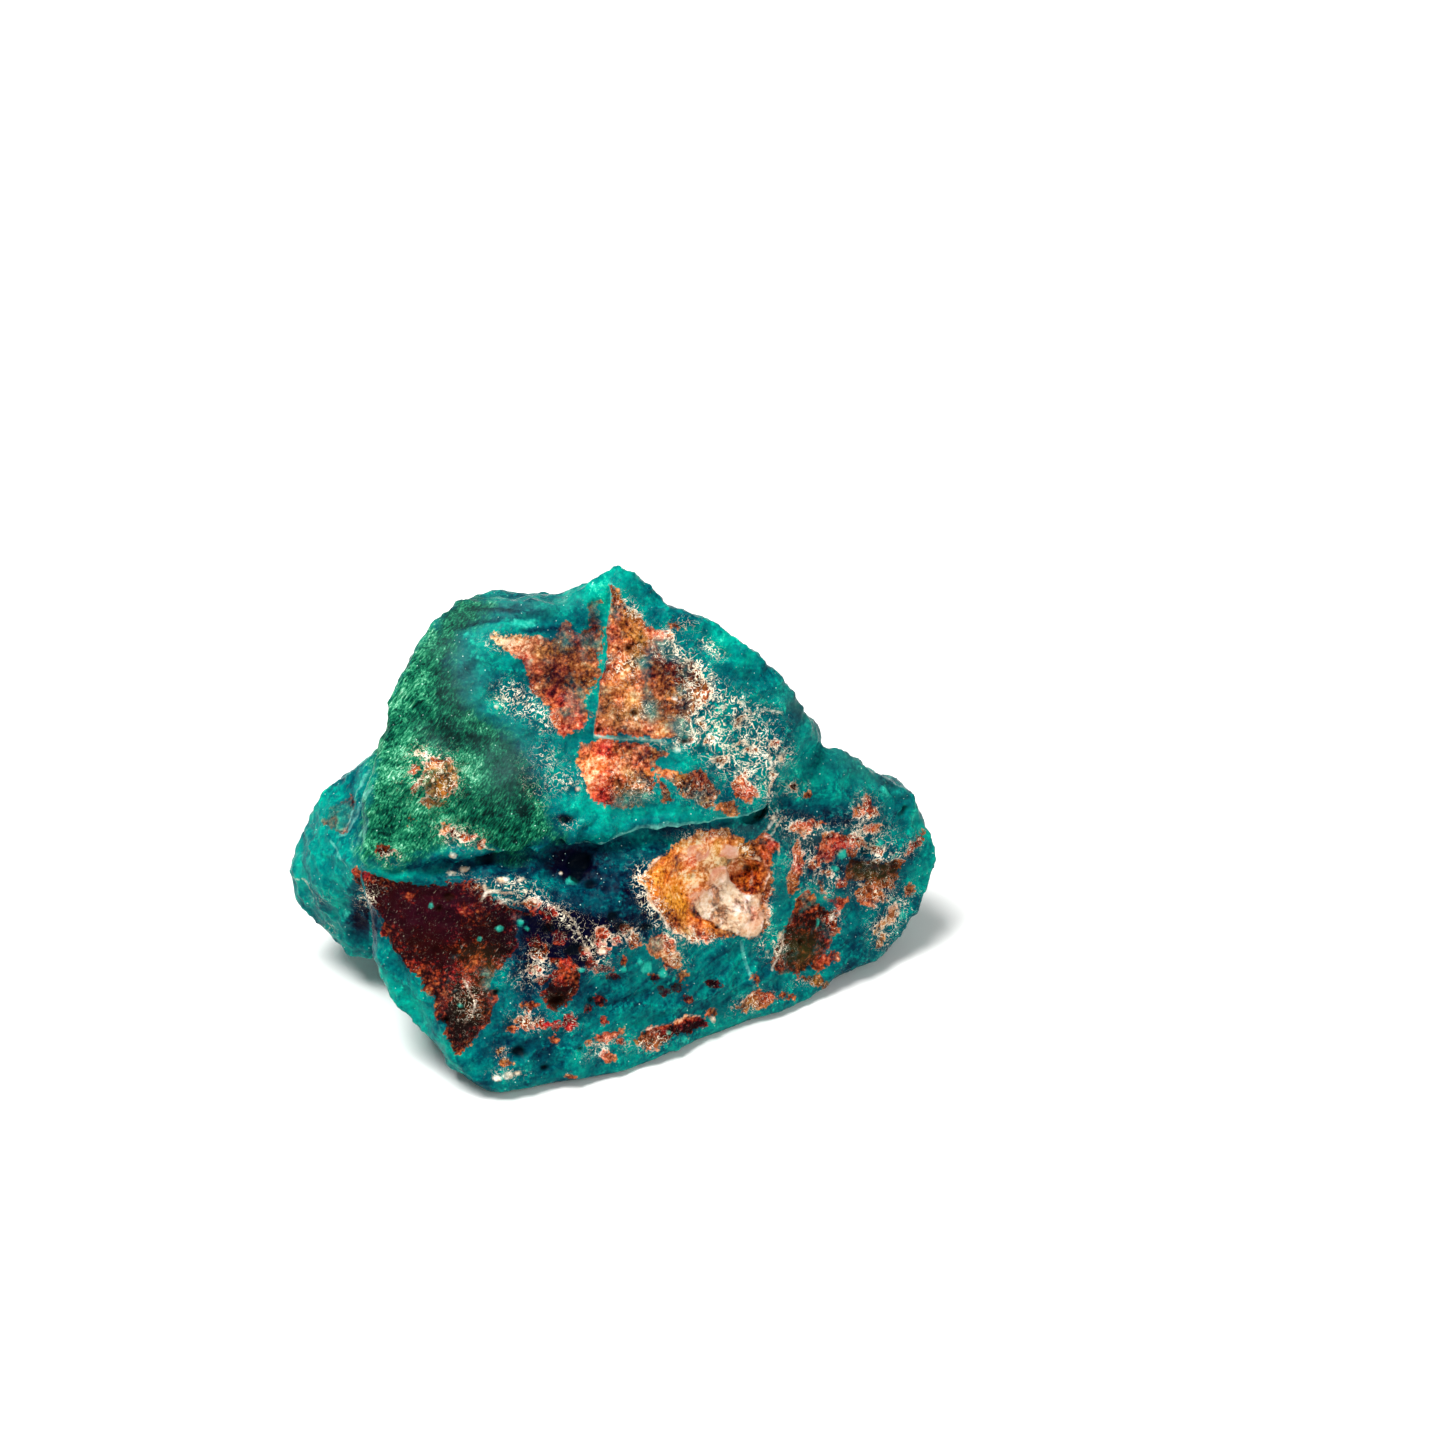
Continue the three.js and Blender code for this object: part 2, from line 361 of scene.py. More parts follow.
# The crown left of the step: a rusty face with a pale tail, and turquoise flakes above it.
CROWN_LEFT: Marks = {
    Layer.RUST: (
        Patch((
            (-12.5, 19.4), (-8.6, 19), (-5.9, 19), (-5.7, 20.1), (-4.7, 20.7), (-3.6, 19.3), (-2.3, 20.2),
            (-2.6, 22.4), (-1.7, 22.6), (-1.5, 20.6), (-1.8, 17.3), (-2, 15.8), (-2.7, 14), (-3.4, 12.8),
            (-2.8, 11.6), (-3.6, 10.2), (-4.8, 9.4), (-6, 10.4), (-6.6, 12.1), (-7.9, 13.6), (-8.7, 15.6),
            (-9.6, 17.5), (-11.7, 18.2),
        )),
    ),
    Layer.HEAT: washes(
        (-10.7, 18.6, 2.6, 1, 0.52, -10), (-8.3, 17.8, 1.6, 1.4, 0.5), (-3, 16.4, 1.2, 0.6, 0.3),
        (-5.3, 11.4, 2.4, 2, 0.24), (-5.5, 15, 1.8, 1.1, -0.15), (-11.4, 18.9, 1.4, 0.7, 0.4),
    ),
    Layer.DRAB: washes((-5.4, 15.8, 2.8, 2.6, -0.75), (-2.1, 21, 0.8, 2, -0.5)),
    Layer.RED: washes((-5.3, 11.4, 2.4, 2, 0.9), (-8.6, 16.6, 1.2, 1.4, 0.4), (-4, 15.8, 1.2, 0.6, 0.6)),
    Layer.THIN: washes((-3.6, 13.2, 1.4, 2.4, 0.5), (-5, 19.2, 3.4, 1.4, 0.5), (-2.2, 21.2, 1, 2, 0.4)),
    Layer.BEADS: (
        Patch(((-10.3, 20.3), (-10, 21.1), (-8.9, 20.9), (-7.8, 21.1), (-7.9, 20.2), (-9.1, 20))),
        *spots((-14.7, 19.3, 0.36, 0.7, 30), (-13.7, 17.1, 0.26)),
    ),
    Layer.SPAR: spots((-11.8, 12.2, 0.18), (-12.3, 19.3, 0.22)),
    Layer.LACE: washes(
        (-11.5, 18.6, 1.6, 0.9, 0.5), (-10.7, 13.4, 1.5, 1.4, 0.7), (-8.5, 12.2, 1.8, 1.3, 0.6, -30),
        (-6.8, 10.6, 1.4, 1, 0.45), (-7, 7.3, 1.8, 1.4, 0.35),
    ),
    # These include painted light along the step's wall, and thin strips of painted light and shade along
    # the layers at the top.
    Layer.LIGHT: washes(
        (-2.7, 24, 2.8, 1.5, 0.8, 25), (-1.2, 19.8, 0.5, 4.6, 0.9, -6), (-2.5, 14, 0.5, 4, 0.35, -8),
        (-12, 21.9, 4.6, 0.3, -0.5, -4), (-9.5, 22.9, 4, 0.3, 0.5, 2), (-13.2, 20.6, 3.4, 0.3, -0.5, 8),
        (-7.4, 19.9, 2, 0.3, -0.5, 8),
    ),
    Layer.SLATE: washes(
        (-13.7, 21.6, 4.6, 1.6, 0.4), (-9.5, 22.4, 4, 1.1, 0.4), (-5.5, 22.8, 2.2, 0.7, 0.3),
    ),
}

# The crown right of the step: the big rusty face, its cross vein and the grains in it.
CROWN_RIGHT: Marks = {
    Layer.RUST: (
        Patch((
            (-0.5, 24.5), (0.7, 22.9), (2.4, 21.2), (3.2, 20.2), (5.6, 19.2), (6.3, 17.2), (7.7, 16.6),
            (9.2, 14.6), (9.5, 13), (7.5, 11.4), (7.5, 8.9), (4.4, 9.1), (-2.2, 9.5), (-2.1, 10.8),
            (-1.8, 12.8), (-1.6, 15), (-0.9, 17), (-0.9, 19.5), (-0.2, 22.7),
        )),
        Spot(6.1, 20.2, 0.5, 0.6, -20),
    ),
    Layer.WISPS: (
        # This first line follows the step's edge: partly a milky vein, partly painted highlight.
        Vein(0.2, ((-0.4, 24.7), (-0.5, 21.1), (-0.8, 17.8), (-1.8, 14.7), (-1.8, 12.1), (-2.2, 9.5))),
        Vein(0.5, ((-2, 9.3), (1, 9), (4.2, 8.9), (6.2, 7.9))),
    ),
    Layer.SPAR: (
        Vein(0.14, ((-2.2, 9.4), (-0.5, 9.1), (2.5, 8.9), (4.2, 8.9), (5.4, 8.4), (6.4, 7.9))),
        Vein(0.16, ((8.4, 18.8), (9.3, 18.3), (10.4, 17.1))),
        Vein(0.08, ((5.7, 13.1), (6.2, 12.9), (6.8, 12.4))),
        *spots((6, 8.1, 0.4, 0.5), (9.6, 14.4, 0.3, 0.6, -60)),
    ),
    Layer.HEAT: washes(
        (0.6, 18.3, 2.2, 3.8, 0.22), (4.2, 19.2, 1.8, 0.9, 0.4, -15), (0.9, 13.4, 2.6, 2.8, 0.3),
        (3, 10.5, 4, 1.6, 0.2), (2.1, 13, 0.6, 0.8, 0.45), (4.6, 10.2, 2.2, 1.1, 0.28, -30),
        (8.2, 12.9, 0.9, 1.2, 0.25), (6.6, 8.9, 0.9, 0.5, -0.5), (6.5, 15.4, 2.6, 1.8, -0.15, -30),
    ),
    Layer.DRAB: washes(
        (6.5, 15.6, 2.8, 1.9, -0.6, -30), (4, 11.6, 1.4, 1.6, 0.6), (2.8, 18.4, 0.8, 2.4, 0.7),
        (0.2, 11.2, 1.6, 1.4, 0.35),
    ),
    Layer.OCHRE: washes((2.2, 12.8, 0.7, 0.9, 0.5), (2.2, 19.6, 1.2, 1.2, 0.3), (0.2, 14.4, 1.6, 1.6, 0.3)),
    Layer.RED: washes((0.4, 18.8, 1, 3, 0.4), (4.2, 19.4, 1.8, 0.8, 0.4, -15), (4.6, 10, 1.2, 0.8, 0.5)),
    Layer.LACE: washes(
        (1.6, 22, 1.8, 0.8, 0.55, -45), (0.6, 16.4, 1.3, 1, 0.6), (4.4, 17.6, 2.4, 1.2, 0.3, -30),
        (1, 14, 3, 6, 0.12), (7.4, 13.4, 1.4, 2.4, 0.25), (5.6, 19, 1.6, 0.8, 0.5, -35),
        (7.6, 16.9, 1.8, 0.8, 0.7, -40), (9.3, 15, 1.4, 0.8, 0.7, -50), (9.6, 18.1, 1.7, 0.6, 0.7, -45),
        (7, 20.6, 1.2, 0.7, 0.4), (3, 11.8, 1.6, 1.4, 0.3),
    ),
    Layer.THIN: washes(
        (6.6, 17, 2.2, 1.2, 0.7, -35), (3.3, 12.2, 0.9, 1.2, 1), (6.3, 10.3, 1.2, 1, 1),
        (3.1, 16.4, 0.8, 1.4, 0.9), (7.4, 12.6, 1.2, 1.6, 0.5), (4.6, 18.2, 1.6, 0.8, 0.5),
    ),
    Layer.PITS: spots(
        (1.9, 11.6, 0.35), (1.4, 18.2, 0.3), (6.9, 8.8, 0.5, 0.6), (2.6, 19.1, 0.25), (-1.6, 9.9, 0.3),
    ),
    Layer.LIGHT: washes((0.6, 25.2, 1.4, 1.2, 0.35), (12, 18.8, 5.5, 1.2, 0.22, -38)),
}

# Below the cross vein: the orange foot and the slanting orange band.
CROWN_FOOT: Marks = {
    Layer.RUST: (
        Patch((
            (-2.3, 8.9), (-3.3, 8.4), (-3.7, 7.1), (-2.7, 4.3), (-1.9, 2.9), (0.4, 2), (3.1, 2.2),
            (3.3, 3.2), (3.9, 4.4), (3.6, 6.4), (5.2, 7.4), (2.1, 8.6),
        )),
        Patch((
            (3.6, 6.3), (4.9, 6.1), (7.1, 5.4), (8.4, 6), (10.3, 3.6), (9.2, 2.1), (7.2, 3.2), (4.9, 5.3),
        )),
        Patch(((4.3, 4.9), (5.2, 4.3), (5.6, 2.9), (4.8, 2.9))),
        Patch(((11.5, 4.5), (13.1, 5.7), (13.8, 3.6), (12.9, 3), (11.9, 3.3))),
        *spots((11.3, 2.3, 0.7, 0.6), (10.6, 6.8, 0.6, 0.7)),
    ),
    Layer.HEAT: washes(
        (-2.4, 5.6, 1.3, 3, 0.6, -15), (0.8, 6.2, 1.8, 1.6, 0.42), (1.3, 2.9, 1.6, 0.8, 0),
        (4.9, 5.6, 1.4, 0.8, 0.35), (8.2, 2.7, 0.9, 0.6, -0.2), (12.8, 4.4, 1, 1, 0.35),
    ),
    Layer.OCHRE: washes((4.9, 5.7, 1.6, 0.6, 0.5)),
    Layer.RED: washes((-2, 5.6, 1.9, 3.6, 1.7, -15), (4.9, 5.6, 1.4, 0.8, 0.4), (12.8, 4.4, 1, 1, 0.5)),
    Layer.DRAB: washes((1, 3.8, 1.6, 1.3, 0.4), (5.1, 3.8, 0.8, 1.4, -0.6)),
    Layer.THIN: washes(
        (2.2, 3.2, 2, 1.2, 0.6), (8.6, 3.4, 1.6, 0.9, 0.6, -30), (3.6, 7.2, 1.6, 0.9, 0.4),
        (-1.6, 5.8, 1.8, 3, -0.6, -15),
    ),
    Layer.SPAR: spots((-3.8, 4, 0.3, 0.8), (-4.4, 4.6, 0.16)),
    Layer.LACE: washes(
        (-5.3, 4.8, 1.8, 1.3, 0.45), (7.8, 3.8, 2.6, 1.2, 0.35, -30), (2.5, 3.8, 1.8, 1.3, 0.3),
        (0, 5.6, 2.6, 3, 0.2),
    ),
}

# The lace: cream squiggles and small ringed nodules over the right of the crown.
LACE: Marks = {
    Layer.RUST: spots(
        (12.4, 10.7, 0.6), (12.5, 8.4, 0.5, 0.8), (13.3, 7.9, 0.5, 0.7), (15.7, 8.6, 0.3), (8.5, 10.4, 0.4),
        (9.1, 8.7, 0.4), (15.5, 4.2, 0.7, 0.5, 80), (15.6, 5.6, 0.3),
    ),
    Layer.SPAR: (
        Vein(0.18, ((12.9, 11.9), (13.7, 11.5), (14.5, 11.9), (16.4, 11.7))),
        Vein(0.2, ((15.2, 8.9), (16.9, 7.4))), Vein(0.18, ((15.1, 8.3), (15.5, 5.8))),
        *spots((16.4, 7.1, 0.5, 0.6, -50), (12.6, 12.6, 0.3, 0.7), (10.7, 12.2, 0.35, 0.6)),
    ),
    Layer.LACE: washes(
        (12, 10.6, 3.4, 2.2, 0.75), (9.7, 13.2, 2.4, 1.4, 0.85, -30), (12.3, 7.8, 3.4, 2, 0.7),
        (9, 10, 2.2, 1.6, 0.6), (15.5, 5.3, 0.9, 2.8, 0.6), (13, 5.3, 2, 2.2, 0.5),
        (17.1, 7.2, 1.2, 1, 0.5, -45), (5.3, 8.4, 1.6, 0.6, 0.6), (10, 21.6, 1.4, 0.6, 0.3, -40),
    ),
    Layer.SLATE: washes((18.2, 12.3, 1.8, 0.9, 0.8, -35), (21.6, 9.6, 3, 0.9, 0.7, -35)),
}

# The fibrous green face on the left, its rusty boss and the spots on it.
GREEN_FACE: Marks = {
    Layer.FIBRES: (
        Patch((
            (-17.9, 20.6), (-17.4, 22.2), (-15.9, 23.8), (-13.6, 23.6), (-11.8, 22.4), (-13.2, 20.6),
            (-15.4, 19.6), (-15.7, 18.2), (-16.5, 16.6), (-15.3, 13.4), (-14.1, 12), (-11.8, 10.8),
            (-10, 9.2), (-8.5, 5.8), (-6.9, 2.9), (-5.9, 0.3), (-4.9, -1.1), (-7.9, -1.7), (-9.3, -3.6),
            (-11.4, -3.1), (-13.4, -1.9), (-16.5, -1.5), (-18.6, -2.6), (-22.1, -4), (-25.5, -3),
            (-25.8, -1.2), (-24.3, 5.8), (-23.9, 12.8), (-21.9, 15.6), (-20.7, 17.8), (-19.5, 19.8),
        )),
    ),
    Layer.RUST: spots(
        (-19.6, 7.9, 0.36), (-19.8, 6.1, 0.6, 0.8, 60), (-17.6, 5.2, 1.9, 0.95, 60), (-18.6, 5.1, 0.45),
        (-19.9, 4, 0.4), (-16.7, 4.3, 0.7, 0.7), (-18.1, 2.7, 0.8, 0.45), (-20.3, 1, 0.28),
        (-22.9, -2.1, 0.65, 0.75, -20), (-15.9, -0.5, 0.7, 0.7, -15), (-16.8, 0, 0.45),
        (-14.5, -0.7, 0.55, 0.8), (-13.4, -1.4, 0.35),
    ),
    Layer.HEAT: washes(
        (-18.1, 5.6, 2.6, 1.8, 0.1), (-22.9, -2.1, 0.9, 0.7, -0.6), (-15.9, -0.5, 0.7, 0.5, -0.5),
        (-16.9, 0, 0.6, 0.5, 0.5),
    ),
    Layer.DRAB: washes((-17.3, 3.7, 2.4, 1.8, 0.6), (-19.6, 7.9, 0.6, 0.6, -0.6)),
    Layer.OCHRE: washes((-17.1, 5, 1.8, 2.2, 0.6)),
    Layer.THIN: washes((-18, 4.6, 2.6, 2.4, 0.6), (-22.9, -2.1, 1, 0.8, -1), (-15.9, -0.5, 1.2, 0.8, -1)),
    Layer.RED: washes((-22.9, -2.1, 0.9, 0.7, 0.8), (-15.2, -0.6, 1.6, 0.8, 0.6), (-20, 5, 0.8, 1.6, 0.6)),
    Layer.SPAR: (
        Vein(0.16, ((-20.2, 8), (-19.9, 8.5), (-19.2, 8.4), (-19.1, 7.6), (-19.6, 7.2))),
        Vein(0.2, ((-13.3, -1.4), (-12.6, -2), (-11.9, -2.2))),
    ),
    Layer.LACE: washes(
        (-18.1, 5.2, 2.8, 2.4, 0.6), (-15.5, -0.6, 2.4, 1.1, 0.6, -15), (-22.4, -2.7, 1.2, 0.8, 0.5),
        (-19.7, 7.9, 0.8, 0.8, 0.7), (-7.9, 3.8, 0.9, 2.6, 0.25, 35),
    ),
    Layer.SLATE: washes(
        (-11, 6.6, 2.8, 3.4, 1), (-15.3, 14.8, 2.2, 4.4, 0.8), (-18.2, 9, 2.2, 0.9, 0.7, -45),
        (-17.4, 18.4, 2, 1.4, 0.5),
    ),
    # The crust's lighter and darker tone, and painted shade along the diagonal groove.
    Layer.LIGHT: washes(
        (-14.1, 5.8, 1.4, 1.6, 0.6), (-12.5, 12.8, 2.2, 1.4, 0.5, -30), (-13.5, 1.1, 1.2, 0.7, -0.55),
        (-9.1, 1.5, 1, 0.9, -0.5), (-17, 9.3, 2.4, 0.8, -0.6, -45), (-18.3, 18.8, 1.4, 1, 0.45),
        (-17.8, 3.5, 1.2, 0.4, -0.6), (-21.5, 8.3, 2.4, 3, 0.3), (-20.3, 13.8, 2.6, 1.6, 0.4),
        (-10.5, 5, 2.6, 4, -0.4, 25), (-14.5, 9.2, 3.4, 1, -0.5, -45), (-16.5, 14.6, 1.6, 3, -0.35),
        (-9.4, 0.2, 3, 1.4, -0.3),
    ),
}

# The lip under the crown, brightened along its edge by painted light, and the shelf, slit and dark recess
# below it, darkened partly by navy tone and partly by painted shade.
LEDGE: Marks = {
    Layer.WISPS: (
        # A pale line along the lip's edge: partly a milky rim, partly painted highlight.
        Vein(0.16, (
            (-4.8, -1.1), (-2.5, -1.1), (-0.3, -0.6), (2.5, 0.4), (5, 0.9), (8.5, 1), (12, 1.4),
            (14.5, 2.6),
        )),
    ),
    Layer.LIPS: (
        Vein(0.5, (
            (-4.7, -1), (-2.5, -0.9), (-0.3, -0.4), (2.5, 0.6), (5, 1.2), (8.5, 1.2), (12, 1.6),
            (14.5, 2.8), (15.2, 4),
        )),
    ),
    Layer.PITS: spots(
        (-3.6, -3.2, 1.3, 0.8, 30), (-3.9, -4.5, 0.7), (-2.5, -5.3, 0.6, 0.7), (14.1, 1.7, 0.9, 0.22, 32),
        (-12.8, -3.1, 1.1, 0.35), (-4.9, 1, 0.8, 0.5),
    ),
    Layer.SPAR: spots(
        (-16.1, -2.5, 0.4, 0.5), (-15, -3.9, 0.5, 0.5), (-16.3, -4.4, 0.45, 0.5),
        (-11.3, -5.2, 0.6, 0.55, -12), (-9.6, -5.2, 0.5, 0.35, 30), (-5.4, -4.4, 0.22),
    ),
    Layer.BEADS: spots((-4.3, -4.9, 0.5, 0.8), (-5.2, 1, 0.22), (-3.3, 0.9, 0.22)),
    # Painted light along the lip; painted shade under it, in the recess and faintly over the front below,
    # with navy tone in the recess.
    Layer.LIGHT: washes(
        (-1.5, 1.6, 3.4, 1.6, 0.7), (7.5, 1.6, 6, 0.8, 0.4), (14.7, 4.3, 0.8, 2, 0.6, -20),
        (-4, 2.8, 2, 1.4, 0.4), (1, -1.7, 5, 0.9, -0.2), (-4.2, -3.4, 2.6, 1.6, -0.8),
        (8.5, 0, 4.6, 0.8, -0.4), (2.5, -5.2, 4, 2.4, -0.15), (-15.5, -3.4, 6, 0.8, -0.3),
        (0.5, -3.2, 5, 1.8, -0.2), (-1.5, -6.4, 4, 2.4, -0.3), (3, -14, 16, 6, -0.08),
        (-21.5, -4.6, 2.8, 0.6, 0.35), (-10.7, -4.4, 2.4, 0.8, -0.25), (-5.2, 1.1, 1, 0.6, -0.8),
    ),
    Layer.LACE: washes(
        (-11, -5.6, 2.6, 0.8, 0.55), (-4.5, 0.6, 1.2, 0.5, 0.4), (-15.5, -4.4, 1.4, 0.5, 0.25),
    ),
}

# The maroon corner at the lower left, with the bright strip outside it.
MAROON_CORNER: Marks = {
    Layer.RUST: (
        Patch((
            (-26, -3.8), (-23, -4.7), (-22.2, -5.3), (-18.6, -5.2), (-13.7, -5.3), (-12.4, -6.7),
            (-10.6, -7.9), (-8, -8.4), (-9.9, -9.4), (-9.8, -11.9), (-12, -14), (-12.5, -15.4),
            (-11.7, -16.7), (-12.2, -18.8), (-15.1, -21.9), (-15.8, -22.4), (-16.7, -19.6), (-17.7, -18.4),
            (-17.9, -16.8), (-19.1, -15.8), (-19.1, -14.7), (-20.6, -13.6), (-21.7, -12.1), (-23.3, -10.4),
            (-23.1, -8.9), (-24.2, -7.3), (-25.9, -5.5),
        )),
        Spot(-8.9, -7.4, 0.9, 0.42),
    ),
    Layer.HEAT: washes(
        (-18.5, -7.2, 6.6, 3, -0.66), (-11.5, -10.7, 2.6, 3, -0.55), (-20.6, -6.7, 0.9, 0.6, 1),
        (-15.3, -8, 0.8, 0.7, 0.55), (-14.1, -13.3, 0.8, 0.8, 0.4), (-15.8, -14, 1.8, 1.1, 0.1),
        (-17.5, -11.2, 4.6, 2.6, -0.45), (-15.3, -18.7, 2.6, 3, -0.6), (-16.8, -13.6, 3.8, 2.2, -0.25),
        (-22, -6.6, 3.4, 2, -0.4), (-20, -11.6, 2.4, 3.6, -0.25, -30), (-25.3, -4.2, 0.9, 0.6, 0.1),
        (-8.9, -7.3, 1.1, 0.5, 0.4),
    ),
    Layer.DRAB: washes(
        (-18.5, -7.2, 7, 3, -0.7), (-18, -11.4, 3.4, 2.4, -0.2), (-14.5, -17.2, 2.4, 3, 0.2),
        (-12.5, -14.7, 1.6, 1.4, 0.55), (-14.5, -12.2, 3, 1.6, 0.2), (-8.9, -7.3, 1.2, 0.6, 0.6),
    ),
    Layer.SPAR: (
        Vein(0.32, ((-13, -5.6), (-12.7, -6.2), (-13.3, -7.1))), Vein(0.34, ((-12.7, -6.1), (-10.3, -6.3))),
        Vein(0.14, ((-15.1, -14.8), (-13.9, -17.2), (-14.1, -18.6))),
        Vein(0.12, ((-15.3, -17.4), (-16.3, -16))),
        Vein(0.16, ((-11.4, -7.3), (-10.6, -6.9), (-9.9, -7.2), (-8.8, -6.8), (-7.7, -7.3))),
    ),
    Layer.RED: washes((-19, -8, 5, 3.4, 0.9), (-17, -12.2, 4.4, 2.6, 0.9), (-25, -4.2, 1.2, 0.7, 0.9)),
    Layer.THIN: washes(
        (-12.5, -15.4, 1.4, 2, 0.6), (-9.6, -9.4, 1.2, 1.2, 0.8), (-22.8, -10.4, 1.2, 2, 0.5, -50),
        (-18, -8, 6.6, 4.6, -0.7), (-15, -18.6, 2, 2.8, -0.5),
    ),
    Layer.BEADS: spots(
        (-18.3, -7.7, 0.22), (-11.5, -9.9, 0.4, 0.75), (-13.5, -10.9, 0.2), (-9.4, -9.4, 0.36),
        (-8.7, -10, 0.3), (-15.4, -17.5, 0.3, 0.6, -40),
    ),
    Layer.PITS: spots((-16.6, -6.9, 0.6, 0.6), (-17.5, -7.9, 0.4), (-11.8, -16.2, 0.3), (-16.8, -19, 0.3)),
    Layer.LACE: washes(
        (-14.5, -17.2, 1.4, 2.4, 0.3), (-24.9, -7, 1, 1.4, 0.6, -40), (-9.3, -6.8, 2.4, 0.9, 0.6),
    ),
    Layer.LIGHT: washes(
        (-22.3, -15.7, 3.4, 1.4, 0.75, -55), (-19, -19.2, 3, 0.9, 0.5, -50), (-25.3, -9.2, 1.6, 2, -0.75),
    ),
}

# The middle of the front: ringed nodules, a cream chain, and hollows made navy partly in tone and partly by
# painted shade.
CLUSTER: Marks = {
    Layer.RUST: (
        Patch(((-4.7, -12.8), (-3.4, -13.8), (-3.6, -16.1), (-5.9, -18.1), (-7.2, -16.5), (-6.3, -14.5))),
        *spots(
            (-6.6, -8.4, 0.65, 0.75, 15), (-6.5, -9.4, 0.5, 0.7, 60), (-8, -11.2, 0.5, 0.8),
            (-7.4, -12.2, 0.8, 0.7), (-8, -14, 0.5, 0.8), (-5.9, -13.1, 0.55), (-7, -15.2, 0.5, 0.7),
            (-5.3, -10.6, 0.75, 0.9, 30), (-1.4, -10.6, 0.9, 0.75, 60), (-1.2, -12, 0.55),
            (-2.9, -12.2, 0.4), (-2.4, -13.3, 0.6), (-1.1, -13.9, 0.6, 0.5), (1.2, -10.1, 0.45),
            (0.1, -11, 0.35), (1.9, -11.2, 0.6, 0.9, 20), (4.7, -11.6, 1.3, 0.95), (5.8, -13.2, 0.85),
            (6.7, -14.7, 0.5), (0, -14.8, 0.55, 0.5), (4.1, -15, 0.5, 0.8), (4.8, -16.1, 0.55, 0.7),
            (6.3, -15.8, 0.6, 0.5), (0.8, -13.1, 0.35), (7.1, -16.9, 0.75, 0.55, -25), (-1.3, -17.1, 0.55),
            (-2.6, -17.8, 0.36),
        ),
    ),
    Layer.SPAR: (
        Vein(0.18, ((-6.2, -7.6), (-4.8, -8.4), (-4, -9.3), (-3.5, -10.5), (-2.5, -12.3))),
        Vein(0.16, ((-2.1, -11.7), (-2.3, -10.7), (-1.8, -9.8), (-0.9, -9.4))),
        *spots((-1.2, -12.1, 0.4), (-2.7, -11.9, 0.3), (-8, -14.1, 0.3)),
    ),
    Layer.PITS: spots(
        (-4.1, -12, 1, 0.65), (-6.5, -9.9, 0.7, 0.8), (3.1, -9.8, 0.7, 0.5), (-0.3, -8.7, 0.6),
        (0.5, -9.7, 0.6, 0.8), (-5.9, -17.2, 0.7, 0.7), (-2.2, -17.2, 0.3), (-3.7, -15, 0.3),
    ),
    Layer.BEADS: spots(
        (3.2, -13.8, 0.6), (4.8, -14.4, 0.45), (5.5, -15.4, 0.3), (0.8, -13.9, 0.36),
        (-3.3, -14.1, 0.45, 0.6), (2.5, -13.2, 0.4, 0.7, -60),
    ),
    Layer.HEAT: washes(
        (-4.6, -14.5, 1.2, 1.2, 0.1), (-6, -16.9, 1.4, 1.2, -0.5), (4.7, -11.6, 1.5, 1.4, 0.4),
        (-7.4, -11.4, 2, 4.2, -0.42), (-1.8, -13.2, 2.4, 2.4, -0.35), (9.8, -15.5, 1.4, 1.4, -0.6),
        (-4.8, -16, 1.6, 1.8, -0.25), (5.8, -13.3, 0.9, 0.8, 0.5), (6.7, -14.7, 0.7, 0.7, 0.5),
        (-5.3, -10.5, 1, 1, -0.35), (5, -15.8, 2.6, 1.2, -0.7), (0, -15.2, 2.2, 0.8, -0.7),
        (-1.9, -17.8, 2.6, 1.2, -0.4), (-1.2, -11.2, 1.2, 1.8, 0.22),
    ),
    Layer.DRAB: washes(
        (-5.3, -10.2, 1.8, 1.4, -0.9), (5, -15.8, 2.4, 1.4, -0.8), (0, -15.4, 2.4, 1, -0.8),
        (-6.1, -17.4, 1.4, 1, 0.2), (5.8, -13.3, 1, 0.9, 0.4),
    ),
    Layer.RED: washes((-6.8, -11.2, 2.4, 4.4, 1.2), (-1.6, -12, 2.6, 3, 1.1), (-4.4, -14.2, 1.2, 1.2, 0.4)),
    Layer.THIN: washes((4.6, -11.4, 1.6, 1.4, 0.25), (-3.6, -17, 1.2, 1.2, 0.5)),
    Layer.LACE: washes(
        (-5, -9, 2.6, 1.4, 0.4, -40), (-1.5, -11, 2, 1.8, 0.42), (-7.5, -13.4, 1.6, 2.2, 0.42),
        (6, -13, 1.4, 1.4, 0.4), (1.5, -10.5, 1.8, 1.2, 0.4), (-10, -14.7, 2, 1.8, 0.2),
        (-1.9, -13.4, 1.8, 1.2, 0.3),
    ),
    Layer.LIGHT: washes(
        (-5.5, -9.7, 3, 2.6, -0.85), (-3.5, -12.2, 2.2, 1.6, -0.6), (-8.4, -11.4, 2.6, 3.4, -0.5),
        (0.5, -9.7, 3.4, 1.4, -0.65), (-8.5, -15.7, 2.2, 2.6, -0.25), (0.5, -17.2, 6, 1.6, -0.15, -15),
    ),
}

